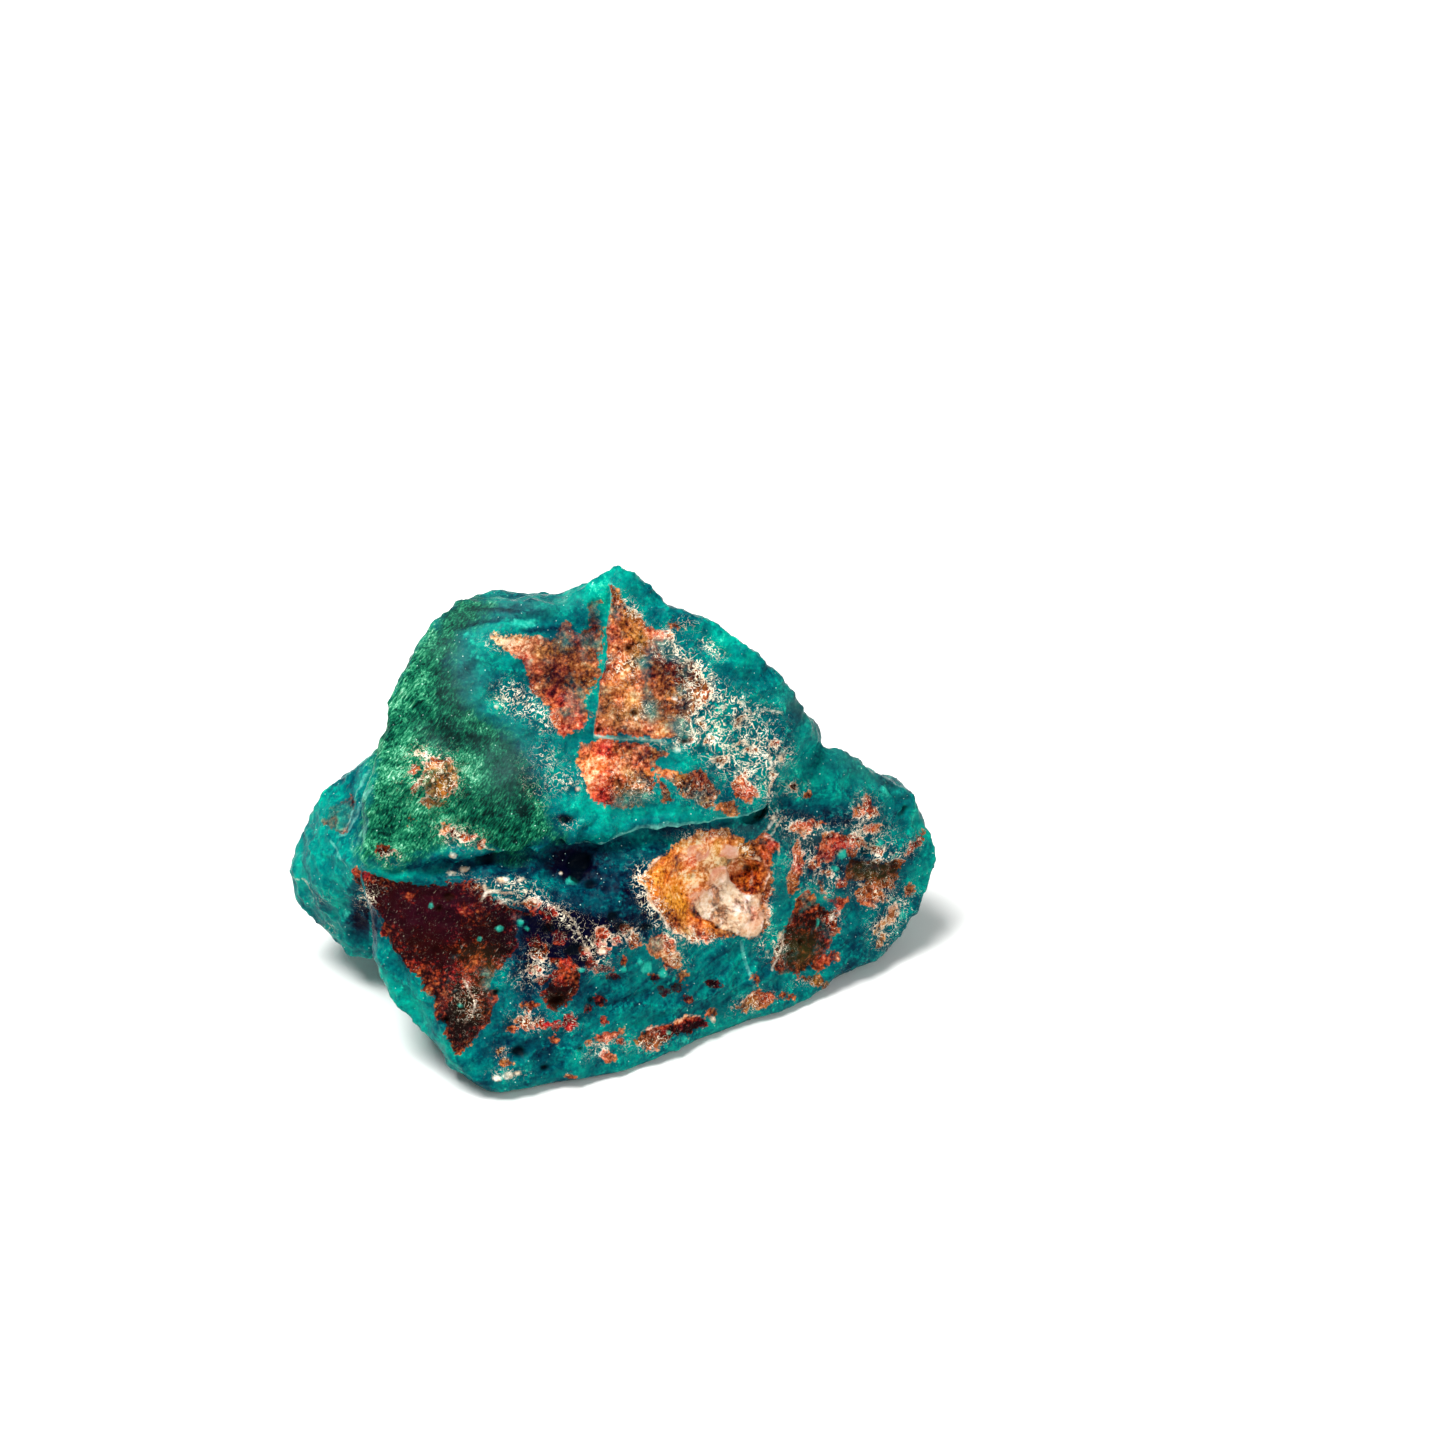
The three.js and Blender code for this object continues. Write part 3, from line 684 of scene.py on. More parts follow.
# The lower front edge: red crumbs, two long streaks and white specks.
LOWER_EDGE: Marks = {
    Layer.RUST: (
        Patch((
            (2, -20.9), (2.8, -20.1), (4.4, -19.7), (7.1, -18.6), (8.5, -18.8), (9.1, -19.4), (7.3, -20.4),
            (5.8, -20.4), (4.7, -21.3), (3.2, -21.9), (2.3, -21.5),
        )),
        Patch((
            (12, -18), (13.2, -16.9), (14.1, -16.1), (16, -16.3), (15.2, -17.8), (13.8, -17.8),
            (12.9, -18.3),
        )),
        *spots(
            (-8.5, -17.5, 0.6, 0.75), (-8.9, -19.2, 0.7, 0.8), (-7.5, -19.2, 0.65, 0.5),
            (-10.2, -19.8, 0.4, 0.7), (-4.6, -19.2, 0.75), (-5.9, -19.5, 0.4), (-6.1, -21, 0.36),
            (-11.4, -22.2, 0.36), (-10.8, -23.2, 0.45, 0.7), (-4.3, -24.9, 0.3), (-1, -19.1, 0.28),
            (-1.1, -20.8, 1.2, 0.34, 15), (-0.5, -22.7, 0.6, 0.9), (0.5, -21.2, 0.5, 0.6),
            (16.9, -16.7, 0.5, 0.4), (20.1, -15.2, 1, 0.32, -12), (9.8, -15.5, 0.4, 0.8),
            (13.8, -14.9, 0.36), (10.1, -18.4, 0.5, 0.7),
        ),
    ),
    Layer.SPAR: (
        Vein(0.13, ((2.6, -20.2), (4.4, -19.6), (5.8, -19), (7.4, -18.5), (8.6, -18.7))),
        Vein(0.12, ((12.4, -17.6), (13.6, -16.6), (14.6, -16), (16, -16.2))),
        *spots(
            (-11.7, -24.8, 0.45, 0.7), (-10.7, -24.5, 0.6, 0.6), (-9.7, -24.2, 0.4, 0.6), (9.8, -19, 0.3),
        ),
    ),
    Layer.PITS: spots((-9.5, -22.2, 0.75, 0.75), (-7, -23.8, 0.5, 0.7), (-3.5, -21.8, 0.4, 0.6)),
    Layer.BEADS: spots((6.7, -20.8, 0.4, 0.8), (5.3, -20.2, 0.24)),
    Layer.WISPS: (Vein(0.08, ((12.7, -11.3), (13, -12.9), (13.4, -14.8), (13.8, -16))),),
    Layer.HEAT: washes(
        (7.2, -19.9, 2.4, 0.7, -0.8, 12), (3.7, -20.8, 1.6, 0.8, 0.15), (6.4, -18.9, 2.6, 0.4, 0.6, 15),
        (-1.1, -20.8, 1.4, 0.6, 0.25), (-7.6, -19, 3, 1.6, -0.2), (-0.5, -22.7, 0.9, 0.9, 0.4),
        (14, -17.2, 2, 1, 0.25, 30),
    ),
    Layer.DRAB: washes(
        (13.5, -17.4, 1.4, 0.8, 0.5), (4, -21.2, 1.4, 0.8, 0.4), (20.1, -15.2, 1.2, 0.5, 0.6),
    ),
    Layer.RED: washes(
        (-6.6, -19.2, 4.4, 1.8, 1), (6.8, -19.8, 3.4, 1, 0.6, 15), (14.6, -16.8, 1.8, 0.8, 0.6),
    ),
    Layer.LACE: washes(
        (-8.7, -19, 1.9, 1.2, 0.42), (-4.6, -19.2, 1.2, 1, 0.4), (-10.7, -24.4, 1.8, 0.6, 0.42),
        (3.5, -21.2, 2, 0.8, 0.5, 20), (13.5, -17.4, 2.2, 0.9, 0.5, 25), (-1, -21.7, 2.3, 1, 0.42, 20),
        (-11.1, -22.4, 0.9, 0.8, 0.32), (19, -15.4, 1.8, 0.5, 0.3),
    ),
    Layer.LIGHT: washes(
        (-7, -22.2, 4.6, 1.8, -0.3), (-2.5, -20.7, 4, 0.8, 0.3, 20), (4.5, -18, 5, 0.8, 0.25, 18),
        (12, -13.6, 7, 1, 0.15, 22), (-4, -22.4, 5, 0.7, 0.2, 12),
    ),
    Layer.BANDS: washes(
        (2, -18, 16, 6, 1, 15), (14, -13, 8, 5, 0.8, 20), (24, -8, 7, 8, 0.6), (-21, -15, 4, 8, 0.4),
    ),
}

# The pocket: ochre and orange outside, cream spar in the middle, a dark hole on its right.
POCKET: Marks = {
    Layer.RUST: (
        Patch((
            (2.6, -4.8), (3.9, -3.2), (6.4, -1.4), (8.5, -0.2), (11.3, -0.2), (13.3, -1.5), (14.9, -0.6),
            (16.4, -1.4), (15.3, -3.2), (15.8, -6.2), (15.1, -8.1), (15.4, -9.5), (14.7, -10.9),
            (11, -10.6), (7.8, -11.3), (6.3, -10.4), (4.6, -8.6), (3.6, -6.8),
        )),
    ),
    Layer.SPAR: (
        Patch((
            (7.3, -6.6), (8.7, -6), (9, -4.9), (9.9, -3.8), (11.3, -3.9), (11.6, -4.9), (12.4, -5.8),
            (13.1, -6.6), (14.9, -6.5), (14.6, -7.6), (15, -8.4), (15, -9.8), (14.5, -10.8), (13.5, -11),
            (12.5, -10.8), (11.6, -10.2), (10.6, -9.9), (9.6, -9), (8.8, -8.7), (8, -7.6),
        )),
        Vein(0.28, ((3.1, -5.6), (4.1, -7.8), (5.5, -9.7), (6.5, -10.6))),
        Vein(0.18, ((2.7, -4.6), (3.7, -3.4), (4.9, -2.4))),
        Vein(0.14, ((15.8, -5.6), (15.1, -8.2), (15.4, -9.4))),
        Vein(0.14, ((14.9, -0.7), (16.3, -1.3), (16, -2.5))),
        Patch(((6.2, -2.6), (7.6, -1.6), (9.4, -1.5), (9.6, -2.6), (8.4, -3.2))),
        Patch(((10.2, -2.9), (11, -1.6), (12.2, -1.9), (12.6, -2.9), (11.6, -3.4))),
        Vein(0.2, ((14.9, -3.2), (15.3, -4.6), (14.9, -6))),
        Vein(0.2, ((12.6, -3), (13.4, -3.3), (14.4, -3.1))),
        Vein(0.12, ((13.3, -4.1), (13.5, -4.9), (13.2, -5.6))), Spot(14.2, -3, 0.5, 0.6, -50),
    ),
    Layer.PITS: spots(
        (12.9, -4.1, 0.22), (13.9, -4, 0.2), (13.8, -5.4, 0.3, 0.7), (12.9, -5.7, 0.2),
        (7.8, -4.1, 0.22, 0.6, 70), (10.4, -9.7, 0.26), (8.2, -8.3, 0.4, 0.6, -30),
    ),
    Layer.HEAT: washes(
        (4.5, -5.2, 2.2, 2.6, 0.2), (8.5, -1.7, 3.4, 1.2, 0.6), (7.5, -3.8, 0.9, 1.4, 0.25),
        (9.9, -3.6, 1.2, 1, 0.4), (8.3, -5.4, 1.2, 1.2, 0.3), (7.9, -8.7, 2.2, 1, 0.1, -30),
        (7.5, -10.2, 1.8, 0.8, 0.5), (14.4, -9.1, 1.2, 1.8, 0.5), (13.4, -5, 1.3, 1.4, -0.22),
        (11, -2.8, 2, 1.4, 0.4), (15, -4.6, 0.8, 1.6, 0.3), (10.4, -4.4, 1, 1, 0.2),
        (7.6, -5.4, 1.6, 2.2, 0.4), (12.4, -3.8, 0.8, 0.8, 0.3), (14.7, -9.7, 0.7, 1, -0.2),
        (8.8, -8.4, 1, 0.5, -0.25, -30),
    ),
    Layer.RED: washes(
        (7.7, -3.8, 0.5, 1.3, 0.9), (6.2, -2.6, 1.2, 0.6, 0.7), (4.6, -4.4, 2.2, 1.6, 0.35, 25),
        (6.8, -8.2, 1.8, 0.9, 0.5, -35), (15.4, -1.9, 1.2, 1.3, 1.8), (9, -1.2, 2.2, 0.6, 0.4),
    ),
    Layer.OCHRE: washes(
        (4.7, -5.6, 2.4, 2.8, 1.2), (8, -1.6, 3.2, 1, 0.8), (7.4, -5.4, 1.8, 2.2, 0.7),
        (8.5, -8.8, 2.2, 0.8, 1, -30), (13.4, -4.9, 1.3, 1.4, 1.3), (11.2, -2, 1.4, 0.8, 0.6),
        (10.5, -4, 0.9, 0.9, 0.3),
    ),
    Layer.DRAB: washes((14, -8.4, 1.6, 2.2, -0.25), (15.1, -4.2, 0.8, 1.6, -0.25)),
    Layer.LACE: washes(
        (3.8, -7.2, 1, 2.8, 1, 30), (7.5, -10.7, 2.4, 0.8, 0.8), (2.8, -4.6, 0.9, 1.2, 1),
        (12.9, -2.2, 1.2, 0.8, 0.5), (15.5, -7.7, 0.6, 2.4, 0.3), (9, -0.6, 3, 0.6, 0.4),
    ),
    Layer.LIGHT: washes((17.1, -9.7, 2.6, 1.8, 0.45, 60), (3.5, -6.7, 3, 2, -0.2)),
}

# The right end: the rusty band, its crumbs, the olive patch and the bright rim.
RIGHT_END: Marks = {
    Layer.RUST: (
        Patch((
            (15.4, -13.4), (17, -10.5), (17.8, -8.2), (19.3, -6.4), (20.7, -7.9), (21.9, -8.3),
            (22.2, -9.7), (20.8, -12.3), (19.6, -13.8), (18.5, -14.4), (16.7, -14.4),
        )),
        Patch(((19.9, -13.3), (21.7, -12.3), (22.2, -13), (20.7, -14.1), (19.8, -13.9))),
        Patch((
            (20.3, -0.5), (23.1, -0.5), (24.3, -0.8), (25.1, -1.6), (22.8, -1.7), (21.1, -3.4), (20, -3.9),
        )),
        Patch(((18, -1.2), (18.9, -3.3), (18.3, -6), (17.6, -6.9), (17, -4.8), (17.5, -3.8))),
        Patch(((17.5, -0.1), (18.3, 0.4), (19.6, 1), (20.6, 0.7), (18.7, -0.6))),
        Patch(((25.1, 3.3), (25.6, 3.1), (25.8, 1.5), (24.1, 1.6), (23.5, 1.5), (23.5, 2.3), (24.4, 2.5))),
        Patch((
            (23.1, -4), (23.8, -3.3), (26.7, -3.3), (28.7, -3.3), (27.5, -5.9), (26.4, -6.1), (25.6, -5.2),
            (23.3, -5),
        )),
        Patch(((25.8, -4.8), (27.2, -7.1), (25.8, -7.8), (24.5, -7.4), (24.3, -6.4))),
        *spots(
            (18, 4.2, 0.56, 0.8), (19.3, 3.4, 0.36), (25.5, 0, 0.9, 0.5), (25.8, -2, 0.6, 0.7),
            (19.6, -3.8, 0.56, 0.8), (20.6, -5.5, 0.7, 0.5, 75), (22.4, -5.6, 0.45),
            (22.3, -7.3, 0.85, 0.45), (29.9, -1.5, 0.95, 0.4, 42), (29.4, -6.4, 0.5, 0.75, 70),
            (27.7, -8.6, 0.7, 0.6, 65), (26.5, -9.9, 0.65, 0.45, 50), (26.5, -11.2, 0.6, 0.5, 50),
            (21.1, -4.5, 0.4), (23.5, -2.4, 0.4),
        ),
    ),
    Layer.HEAT: washes(
        (18.3, -11.4, 2.8, 3.2, -0.45), (21, -13.3, 1.3, 0.9, 0.22), (22.3, -1.2, 2.6, 1, 0.1),
        (20.7, -2.7, 1, 1.4, 0.15), (17.9, -3.7, 1.2, 3, 0.18), (19, 0.1, 1.8, 0.8, 0.35),
        (24.5, 2.2, 1.2, 1.2, -0.1), (25.5, 0, 1.2, 0.6, 0.1), (25.7, -4.2, 3, 1.2, -0.3),
        (25.1, -6.5, 0.9, 1.2, 0.1), (18, 4.3, 0.4, 0.4, -0.5), (27.5, -9.2, 2.8, 2.6, 0.4),
        (29.9, -1.5, 1.2, 0.7, -0.3, 42), (24.1, -3.6, 1.6, 0.9, -0.4), (20.4, -8.8, 2, 2, -0.2),
    ),
    Layer.RED: washes(
        (17.8, -3.2, 1, 2.2, 0.6), (20.6, -2.6, 0.9, 1.2, 0.5), (19, 0.2, 1.6, 0.6, 0.5),
        (25.5, 0, 1.2, 0.6, 0.8), (21, -13.3, 1.2, 0.8, 0.8), (19.4, -9, 2.4, 2.6, 0.8),
        (22.6, -1.4, 2.4, 0.9, 0.7), (25.8, -6.4, 1.4, 1.4, 0.8), (24.6, 2.2, 1.2, 1, 0.8),
        (29.9, -1.5, 1.2, 0.6, 0.9, 42), (18, 4.2, 0.6, 0.5, 0.9), (22.4, -6.4, 1.4, 1.4, 0.7),
    ),
    Layer.THIN: washes(
        (25.5, -3.6, 2.4, 1, 0.2), (20.2, -10.4, 1.6, 1.8, 0.1), (26.8, -9.6, 1.6, 2, 0.4, 50),
        (22.2, -2.4, 1.4, 1, 0.4),
    ),
    Layer.DRAB: washes(
        (18.2, -12.2, 2.2, 1.8, 0.8), (25.9, -4.4, 3, 1.4, 0.7), (26.2, -6.4, 0.8, 0.8, 0.3),
        (28.5, -8.2, 2.2, 2.6, 0.45),
    ),
    Layer.SPAR: (
        Vein(0.16, ((15.6, -14.1), (16.8, -11.4), (17, -10.2))), Vein(0.14, ((15.1, -0.2), (16.5, 1.2))),
        Vein(0.13, ((15.5, -0.6), (17.1, 1.1))),
        *spots(
            (16.6, -10.7, 0.4, 0.6, 60), (15.2, -12.2, 0.32, 0.7), (21.6, -8.8, 0.4, 0.6, 70),
            (24.2, -0.4, 0.4, 0.5, 40), (24.7, -5.6, 0.34, 0.6), (15.9, 1.1, 0.35, 0.6, 40),
        ),
    ),
    Layer.BEADS: spots(
        (20.2, -9.4, 0.4, 0.7, 80), (22.6, -2.5, 0.55, 0.9), (22, -4, 0.4, 0.7), (26.8, 3.8, 0.6, 0.8, -40),
        (26.2, -1.3, 0.34), (28.7, -8.7, 0.4, 0.6, 70),
    ),
    Layer.PITS: spots(
        (24, -3.2, 0.75, 0.45), (18, 4.2, 0.26), (28.8, 1.9, 0.7, 0.25, 38), (18.5, -11.2, 0.26),
        (17.5, -12.4, 0.25), (27.8, -3.5, 0.3),
    ),
    Layer.LACE: washes(
        (24.5, -0.4, 3, 1.4, 0.5), (19, 0.2, 2, 1, 0.4), (24.7, 2.2, 1.6, 1.4, 0.5),
        (18.5, -3.4, 2.2, 2.6, 0.4), (18.1, 4.1, 1.2, 0.8, 0.6), (26.5, -2.4, 2.2, 1.2, 0.5),
        (16.7, 0.8, 1.4, 1, 0.4, -40), (25.7, -6.2, 1.8, 1.6, 0.4), (28.5, -7.7, 2.4, 2, 0.3, 50),
        (26.5, -10.4, 1.6, 1.8, 0.4), (15.7, -11.7, 1.4, 1.6, 0.5, 60), (21.7, -9, 0.9, 1.2, 0.4),
        (21.3, -5.2, 1.4, 1.6, 0.4), (29.9, -1.5, 1.2, 0.7, 0.4, 42),
    ),
    Layer.SLATE: washes((25.3, 6.3, 3.6, 1.4, 0.7, -28), (18.7, -1, 2, 1, 0.5), (13.3, 0, 1.4, 0.6, 0.5)),
    Layer.LIGHT: washes(
        (23.5, 4.6, 4, 1.8, 0.35, -25), (30, 0.8, 2.6, 1.4, 0.45, -55), (21.5, 1.3, 4, 1.2, -0.35),
        (19.6, -1.6, 3, 1.6, -0.5), (22.5, -4.2, 2.4, 1.4, -0.4), (26, -5, 3, 2, -0.35),
        (29, -2.7, 2, 1.2, -0.35), (31, -4.2, 1.4, 3, 0.3),
    ),
}

# The lobe behind the left edge, lightened partly in tone and partly by painted light, with its milky
# streaks.
LEFT_LOBE: Marks = {
    Layer.RUST: (Patch(((-26.3, 3.5), (-25.7, 2.7), (-27.2, -0.3), (-29.1, 0.7), (-28.5, 1.8))),),
    Layer.WISPS: (
        Vein(0.1, ((-24.4, 5.8), (-25.9, 2.5), (-27.4, -0.6))),
        Vein(0.1, ((-24.1, 4.2), (-26.1, 1.2), (-27.2, -0.5))), Vein(0.08, ((-24.7, 1), (-25.6, -1.5))),
        Vein(0.05, ((-28.3, -1.2), (-27.7, -2.2), (-26.8, -4.1))),
    ),
    Layer.SPAR: (Vein(0.08, ((-32.3, -4.7), (-30.9, -5), (-30.4, -5.7), (-30, -6.8), (-28.9, -7.1))),),
    Layer.BEADS: spots((-26.8, -8.6, 0.34, 0.7, -60)),
    Layer.HEAT: washes((-27.4, 1.5, 2.4, 2.2, -0.35)),
    Layer.DRAB: washes((-27.4, 1.5, 2.4, 2.4, -0.6)),
    Layer.THIN: washes((-27.4, 1.5, 2.6, 2.4, 0.7)),
    Layer.LACE: washes((-28.9, -10.2, 1, 0.9, 0.35), (-29.3, -7, 1.2, 0.6, 0.3)),
    Layer.LIGHT: washes(
        (-30.6, -0.7, 3.4, 4, 0.38), (-28.2, -2.6, 2, 1.8, 0.4), (-29.9, -8, 3, 2.4, 0.4),
        (-24.5, 3.3, 1, 2.6, 0.2),
    ),
}

FACE: tuple[Marks, ...] = (
    CROWN_LEFT, CROWN_RIGHT, CROWN_FOOT, LACE, GREEN_FACE, LEDGE, MAROON_CORNER, CLUSTER, LOWER_EDGE,
    POCKET, RIGHT_END, LEFT_LOBE,
)

# Steps in the surface: the crown's, the layers at its upper left, and the edges of plates below.
STEPS: tuple[Step, ...] = (
    Step(1.1, (
        (15.4, 3.6), (14.5, 2.2), (12, 1), (8.5, 0.7), (5, 0.6), (2.5, 0.1), (-0.3, -0.9), (-4.9, -1.4),
    ), 1.8),
    Step(0.8, (
        (-2.4, 8.6), (-2.2, 9.5), (-1.8, 12.1), (-1.8, 14.7), (-0.9, 17.2), (-0.8, 20.5), (-0.4, 24.9),
    ), 3),
    Step(0.5, ((6.4, 7.9), (4.2, 8.8), (-2.2, 9.4)), 1.2),
    Step(0.5, ((-17.6, 21.4), (-13, 22.1), (-8.4, 21.9), (-4.4, 22.9)), 1.4),
    Step(0.4, ((-16.4, 19.6), (-12.4, 20.6), (-8, 20.2), (-6.2, 21.2)), 1.2),
    Step(0.4, ((-14.6, 23), (-10, 23), (-6.4, 23.7), (-3.4, 25)), 1),
    Step(0.8, ((-9.4, -3.5), (-7.9, -1.9), (-4.9, -1.1), (-5.9, 0.3), (-6.9, 2.9), (-8.5, 5.8)), 2),
    Step(0.6, (
        (-25.5, -3.2), (-22.1, -4.2), (-18.6, -2.8), (-16.5, -1.7), (-13.4, -2.1), (-11.4, -3.4),
    ), 1.6),
    Step(0.6, ((-9.8, -7.6), (-12.2, -5.6), (-18.6, -5.1), (-22.2, -5.1), (-26, -3.7)), 2.2),
    Step(0.5, ((-16, -22.6), (-18.9, -16.3), (-21.9, -12.3), (-24.3, -7.3)), 1.8),
    Step(0.5, ((-13.6, 14.4), (-11.2, 11.6), (-9, 8.8), (-7.4, 5.6)), 1.6),
    Step(0.5, ((24, 7.6), (26.4, 4.6), (29.2, 1.4), (30.6, -2.6)), 2),
    Step(0.4, ((13.4, -16.2), (13, -13), (12.6, -11.2)), 1.6),
    Step(0.4, ((9, -13.8), (3, -15.9), (-3, -18.2), (-8, -20.6)), 1.6),
    Step(0.4, ((22, -12), (14, -15.4), (6, -17.8), (-2, -20.4)), 1.4),
    Step(0.4, ((18.4, 9.6), (14.6, 13.2), (11.6, 17.2), (7.6, 20.8)), 2),
    Step(0.4, ((-31, 1), (-29.4, -3.2), (-28.2, -7.8)), 1.6),
)

# The back, the sides and the top behind the ridge, where the stone carries the same stains.
HIDDEN_SIDES: dict[Layer, tuple[Blob, ...]] = {
    Layer.RUST: blobs(
        (-13, 17, 17, 5), (-8, 18, 12, 4.5), (-18, 14, 21, 3.5), (9, 17, 23, 5.5), (4, 15, 30, 4.5),
        (13, 17, 17, 4.5), (22, 14, 12, 4.5), (26, 9, 15, 4), (31, 3, 12, 3.2), (-3, 13, 36, 3.6),
        (14, 9, 34, 2.8), (-24, 11, 9, 3.6), (2, 20, 8, 4.5),
    ),
    Layer.FIBRES: blobs((-20, 10, 26, 8), (-26, 2, 16, 6), (-14, 14, 30, 6), (16, 19, 11, 4)),
    Layer.SPAR: blobs((6.5, 17, 25, 1.4), (-11, 18.5, 14.5, 1.2), (24.5, 12.5, 13, 0.9)),
    Layer.PITS: blobs((0, 19.5, 20, 0.9), (-22, 13, 16, 0.8), (18, 16, 20, 0.8)),
    Layer.HEAT: blobs(
        (9, 17, 23, 6, 0.3), (-13, 17, 14, 6, -0.4), (22, 14, 12, 6, 0.2), (-3, 13, 36, 4, 0.2),
        (2, 20, 8, 5, -0.3), (-24, 11, 9, 4.5, -0.45), (-18, 14, 21, 3.5, -0.3), (5, 15, 31, 3, -0.35),
        (12, 17, 16, 3, -0.3),
    ),
    Layer.DRAB: blobs((-13, 17, 17, 6, -0.5), (24, 12, 13, 6, 0.6), (2, 20, 9, 5, 0.5)),
    Layer.OCHRE: blobs((9, 17, 21, 4.5, 0.5)),
    Layer.LACE: blobs(
        (5, 16, 27, 6, 0.3), (-8, 18, 14, 5, 0.3), (24, 12, 14, 5, 0.25), (12, 17, 20, 3, 0.3),
        (-14, 16, 20, 2.5, 0.3),
    ),
    Layer.LIGHT: blobs(
        (-30, 6, 10, 9, 0.4), (0, 18, 3, 12, -0.35), (18, 12, 26, 9, 0.3), (-6, 16, 26, 8, -0.2),
    ),
    Layer.SLATE: blobs((-6, 18, 26, 7, 0.6), (14, 18, 6, 7, 0.5), (-26, 8, 14, 6, 0.4)),
    Layer.BANDS: blobs((0, 16, 4, 18, 0.7), (24, 10, 8, 12, 0.6)),
    Layer.THIN: blobs(
        (8, 18, 19, 3, 0.7), (-16, 16, 18, 3, 0.7), (22, 14, 9, 3, 0.6), (4, 20, 6, 3, 0.7),
        (3, 14, 34, 3, 0.6), (-26, 10, 8, 2.5, 0.6),
    ),
    Layer.RED: blobs((2, 20, 9, 4, 0.4), (-18, 14, 21, 4, 0.5), (31, 3, 12, 3, 0.5)),
}


@dataclass(frozen=True)
class Viewpoint:
    """Where the stone is looked at from, and the face plane through its heart that the marks are placed on.

    Attributes:
        elevation: degrees above the horizon.
        distance: from the face plane to the camera.
        heart: the face plane's zero point.
        aim: where the middle of the view falls on the face plane, right and up of its zero point.
        lens: focal length.
        sensor: width of the sensor.
    """

    elevation: float = 35.0
    distance: float = 722.5
    heart: tuple[float, float, float] = (0.0, 0.0, 18.0)
    aim: Point = (10.75, 10.55)
    lens: float = 180.0
    sensor: float = 36.0

    def axes(self) -> tuple[Field, Field, Field]:
        """Works out which ways the view runs.

        Returns:
            The face plane's right and up, and the way back to the camera.
        """
        tilt = math.radians(self.elevation)
        up = np.array((0.0, math.sin(tilt), math.cos(tilt)))
        back = np.array((0.0, -math.cos(tilt), math.sin(tilt)))
        return np.array((1.0, 0.0, 0.0)), up, back

    def eye(self) -> Field:
        """The camera's place."""
        right, up, back = self.axes()
        return np.array(self.heart) + right * self.aim[0] + up * self.aim[1] + back * self.distance

    def flattened(self, places: Field) -> Field:
        """Carries places in the stone's frame to the face plane.

        Args:
            places: one row of x, y and z each.

        Returns:
            One row each of the distances right and up of the face plane's zero point.
        """
        right, up, back = self.axes()
        rays = places - self.eye()
        reach = (np.array(self.heart) - self.eye()) @ back / (rays @ back)
        offset = self.eye() + rays * reach[:, None] - np.array(self.heart)
        return np.stack((offset @ right, offset @ up), axis=1)

    def facing(self, places: Field, normals: Field) -> Field:
        """How squarely each place looks at the camera, from -1 to 1."""
        rays = self.eye() - places
        return np.sum(normals * rays, axis=1) / np.linalg.norm(rays, axis=1)


@dataclass(frozen=True)
class Stain:
    """Works out every layer of marks at the stone's vertices.

    Attributes:
        viewpoint: gives the face plane.
        outside: the distance that an edged layer has where it has no mark near.
        turn_away: the range of facing over which the face's marks give way to those of the hidden sides.
        wander: how far the noise moves the hidden sides' marks.
        wander_size: the size of that noise.
        wander_turns: what sets its three directions apart.
    """

    viewpoint: Viewpoint
    outside: float = -4.0
    turn_away: Point = (-0.30, -0.06)
    wander: float = 3.4
    wander_size: float = 5.5
    wander_turns: tuple[float, float, float] = (11.0, 23.0, 37.0)

    def joined(self, layer: Layer, fields: list[Field], count: int) -> Field:
        """One layer from its marks: the nearest edge, or the sum of the strengths.

        Args:
            layer: which layer.
            fields: what each of its marks gives.
            count: the number of vertices.

        Returns:
            A distance or strength for each vertex.
        """
        if layer in EDGED:
            return np.max([np.full(count, self.outside), *fields], axis=0)
        return np.sum([np.zeros(count), *fields], axis=0)

    def face(self, places: Field) -> dict[Layer, Field]:
        """Works out every layer from the marks on the face plane.

        Args:
            places: vertices in mm, one row each.

        Returns:
            For each layer, a distance or strength for each vertex.
        """
        at = self.viewpoint.flattened(places)
        layers = {}
        for layer in Layer:
            fields = [mark.field(at) for region in FACE for mark in region.get(layer, ())]
            layers[layer] = self.joined(layer, fields, len(at))
        return layers

    def hidden(self, places: Field) -> dict[Layer, Field]:
        """Works out every layer from the blobs on the hidden sides, moved about by noise.

        Args:
            places: vertices in mm, one row each.

        Returns:
            For each layer, a distance or strength for each vertex.
        """
        ways = [sampled(places, self.wander_size, 3, turn) for turn in self.wander_turns]
        moved = places + self.wander * np.stack(ways, axis=1)
        layers = {}
        for layer in Layer:
            marks = HIDDEN_SIDES.get(layer, ())
            fields = [mark.field(moved) for mark in marks]
            if layer not in EDGED:
                fields = [
                    mark.strength * smoothstep(-mark.reach / 2, mark.reach / 2, reach)
                    for mark, reach in zip(marks, fields)
                ]
            layers[layer] = self.joined(layer, fields, len(moved))
        return layers

    def over(self, places: Field, normals: Field, screened: Field) -> dict[Layer, Field]:
        """Joins both sets of marks by how each vertex faces, with the hidden ones where it is screened.

        Args:
            places: vertices in mm, one row each.
            normals: their normals.
            screened: which of them another part of the stone hides.

        Returns:
            For each layer, a distance or strength for each vertex.
        """
        share = smoothstep(*self.turn_away, self.viewpoint.facing(places, normals)) * ~screened
        front, hidden = self.face(places), self.hidden(places)
        return {layer: share * front[layer] + (1 - share) * hidden[layer] for layer in Layer}

    def steps(self, places: Field, normals: Field) -> Field:
        """Adds up the steps, on the face alone.

        Args:
            places: vertices in mm, one row each.
            normals: their normals.

        Returns:
            A height in mm for each vertex.
        """
        at = self.viewpoint.flattened(places)
        share = smoothstep(*self.turn_away, self.viewpoint.facing(places, normals))
        return share * np.sum([step.field(at) for step in STEPS], axis=0)


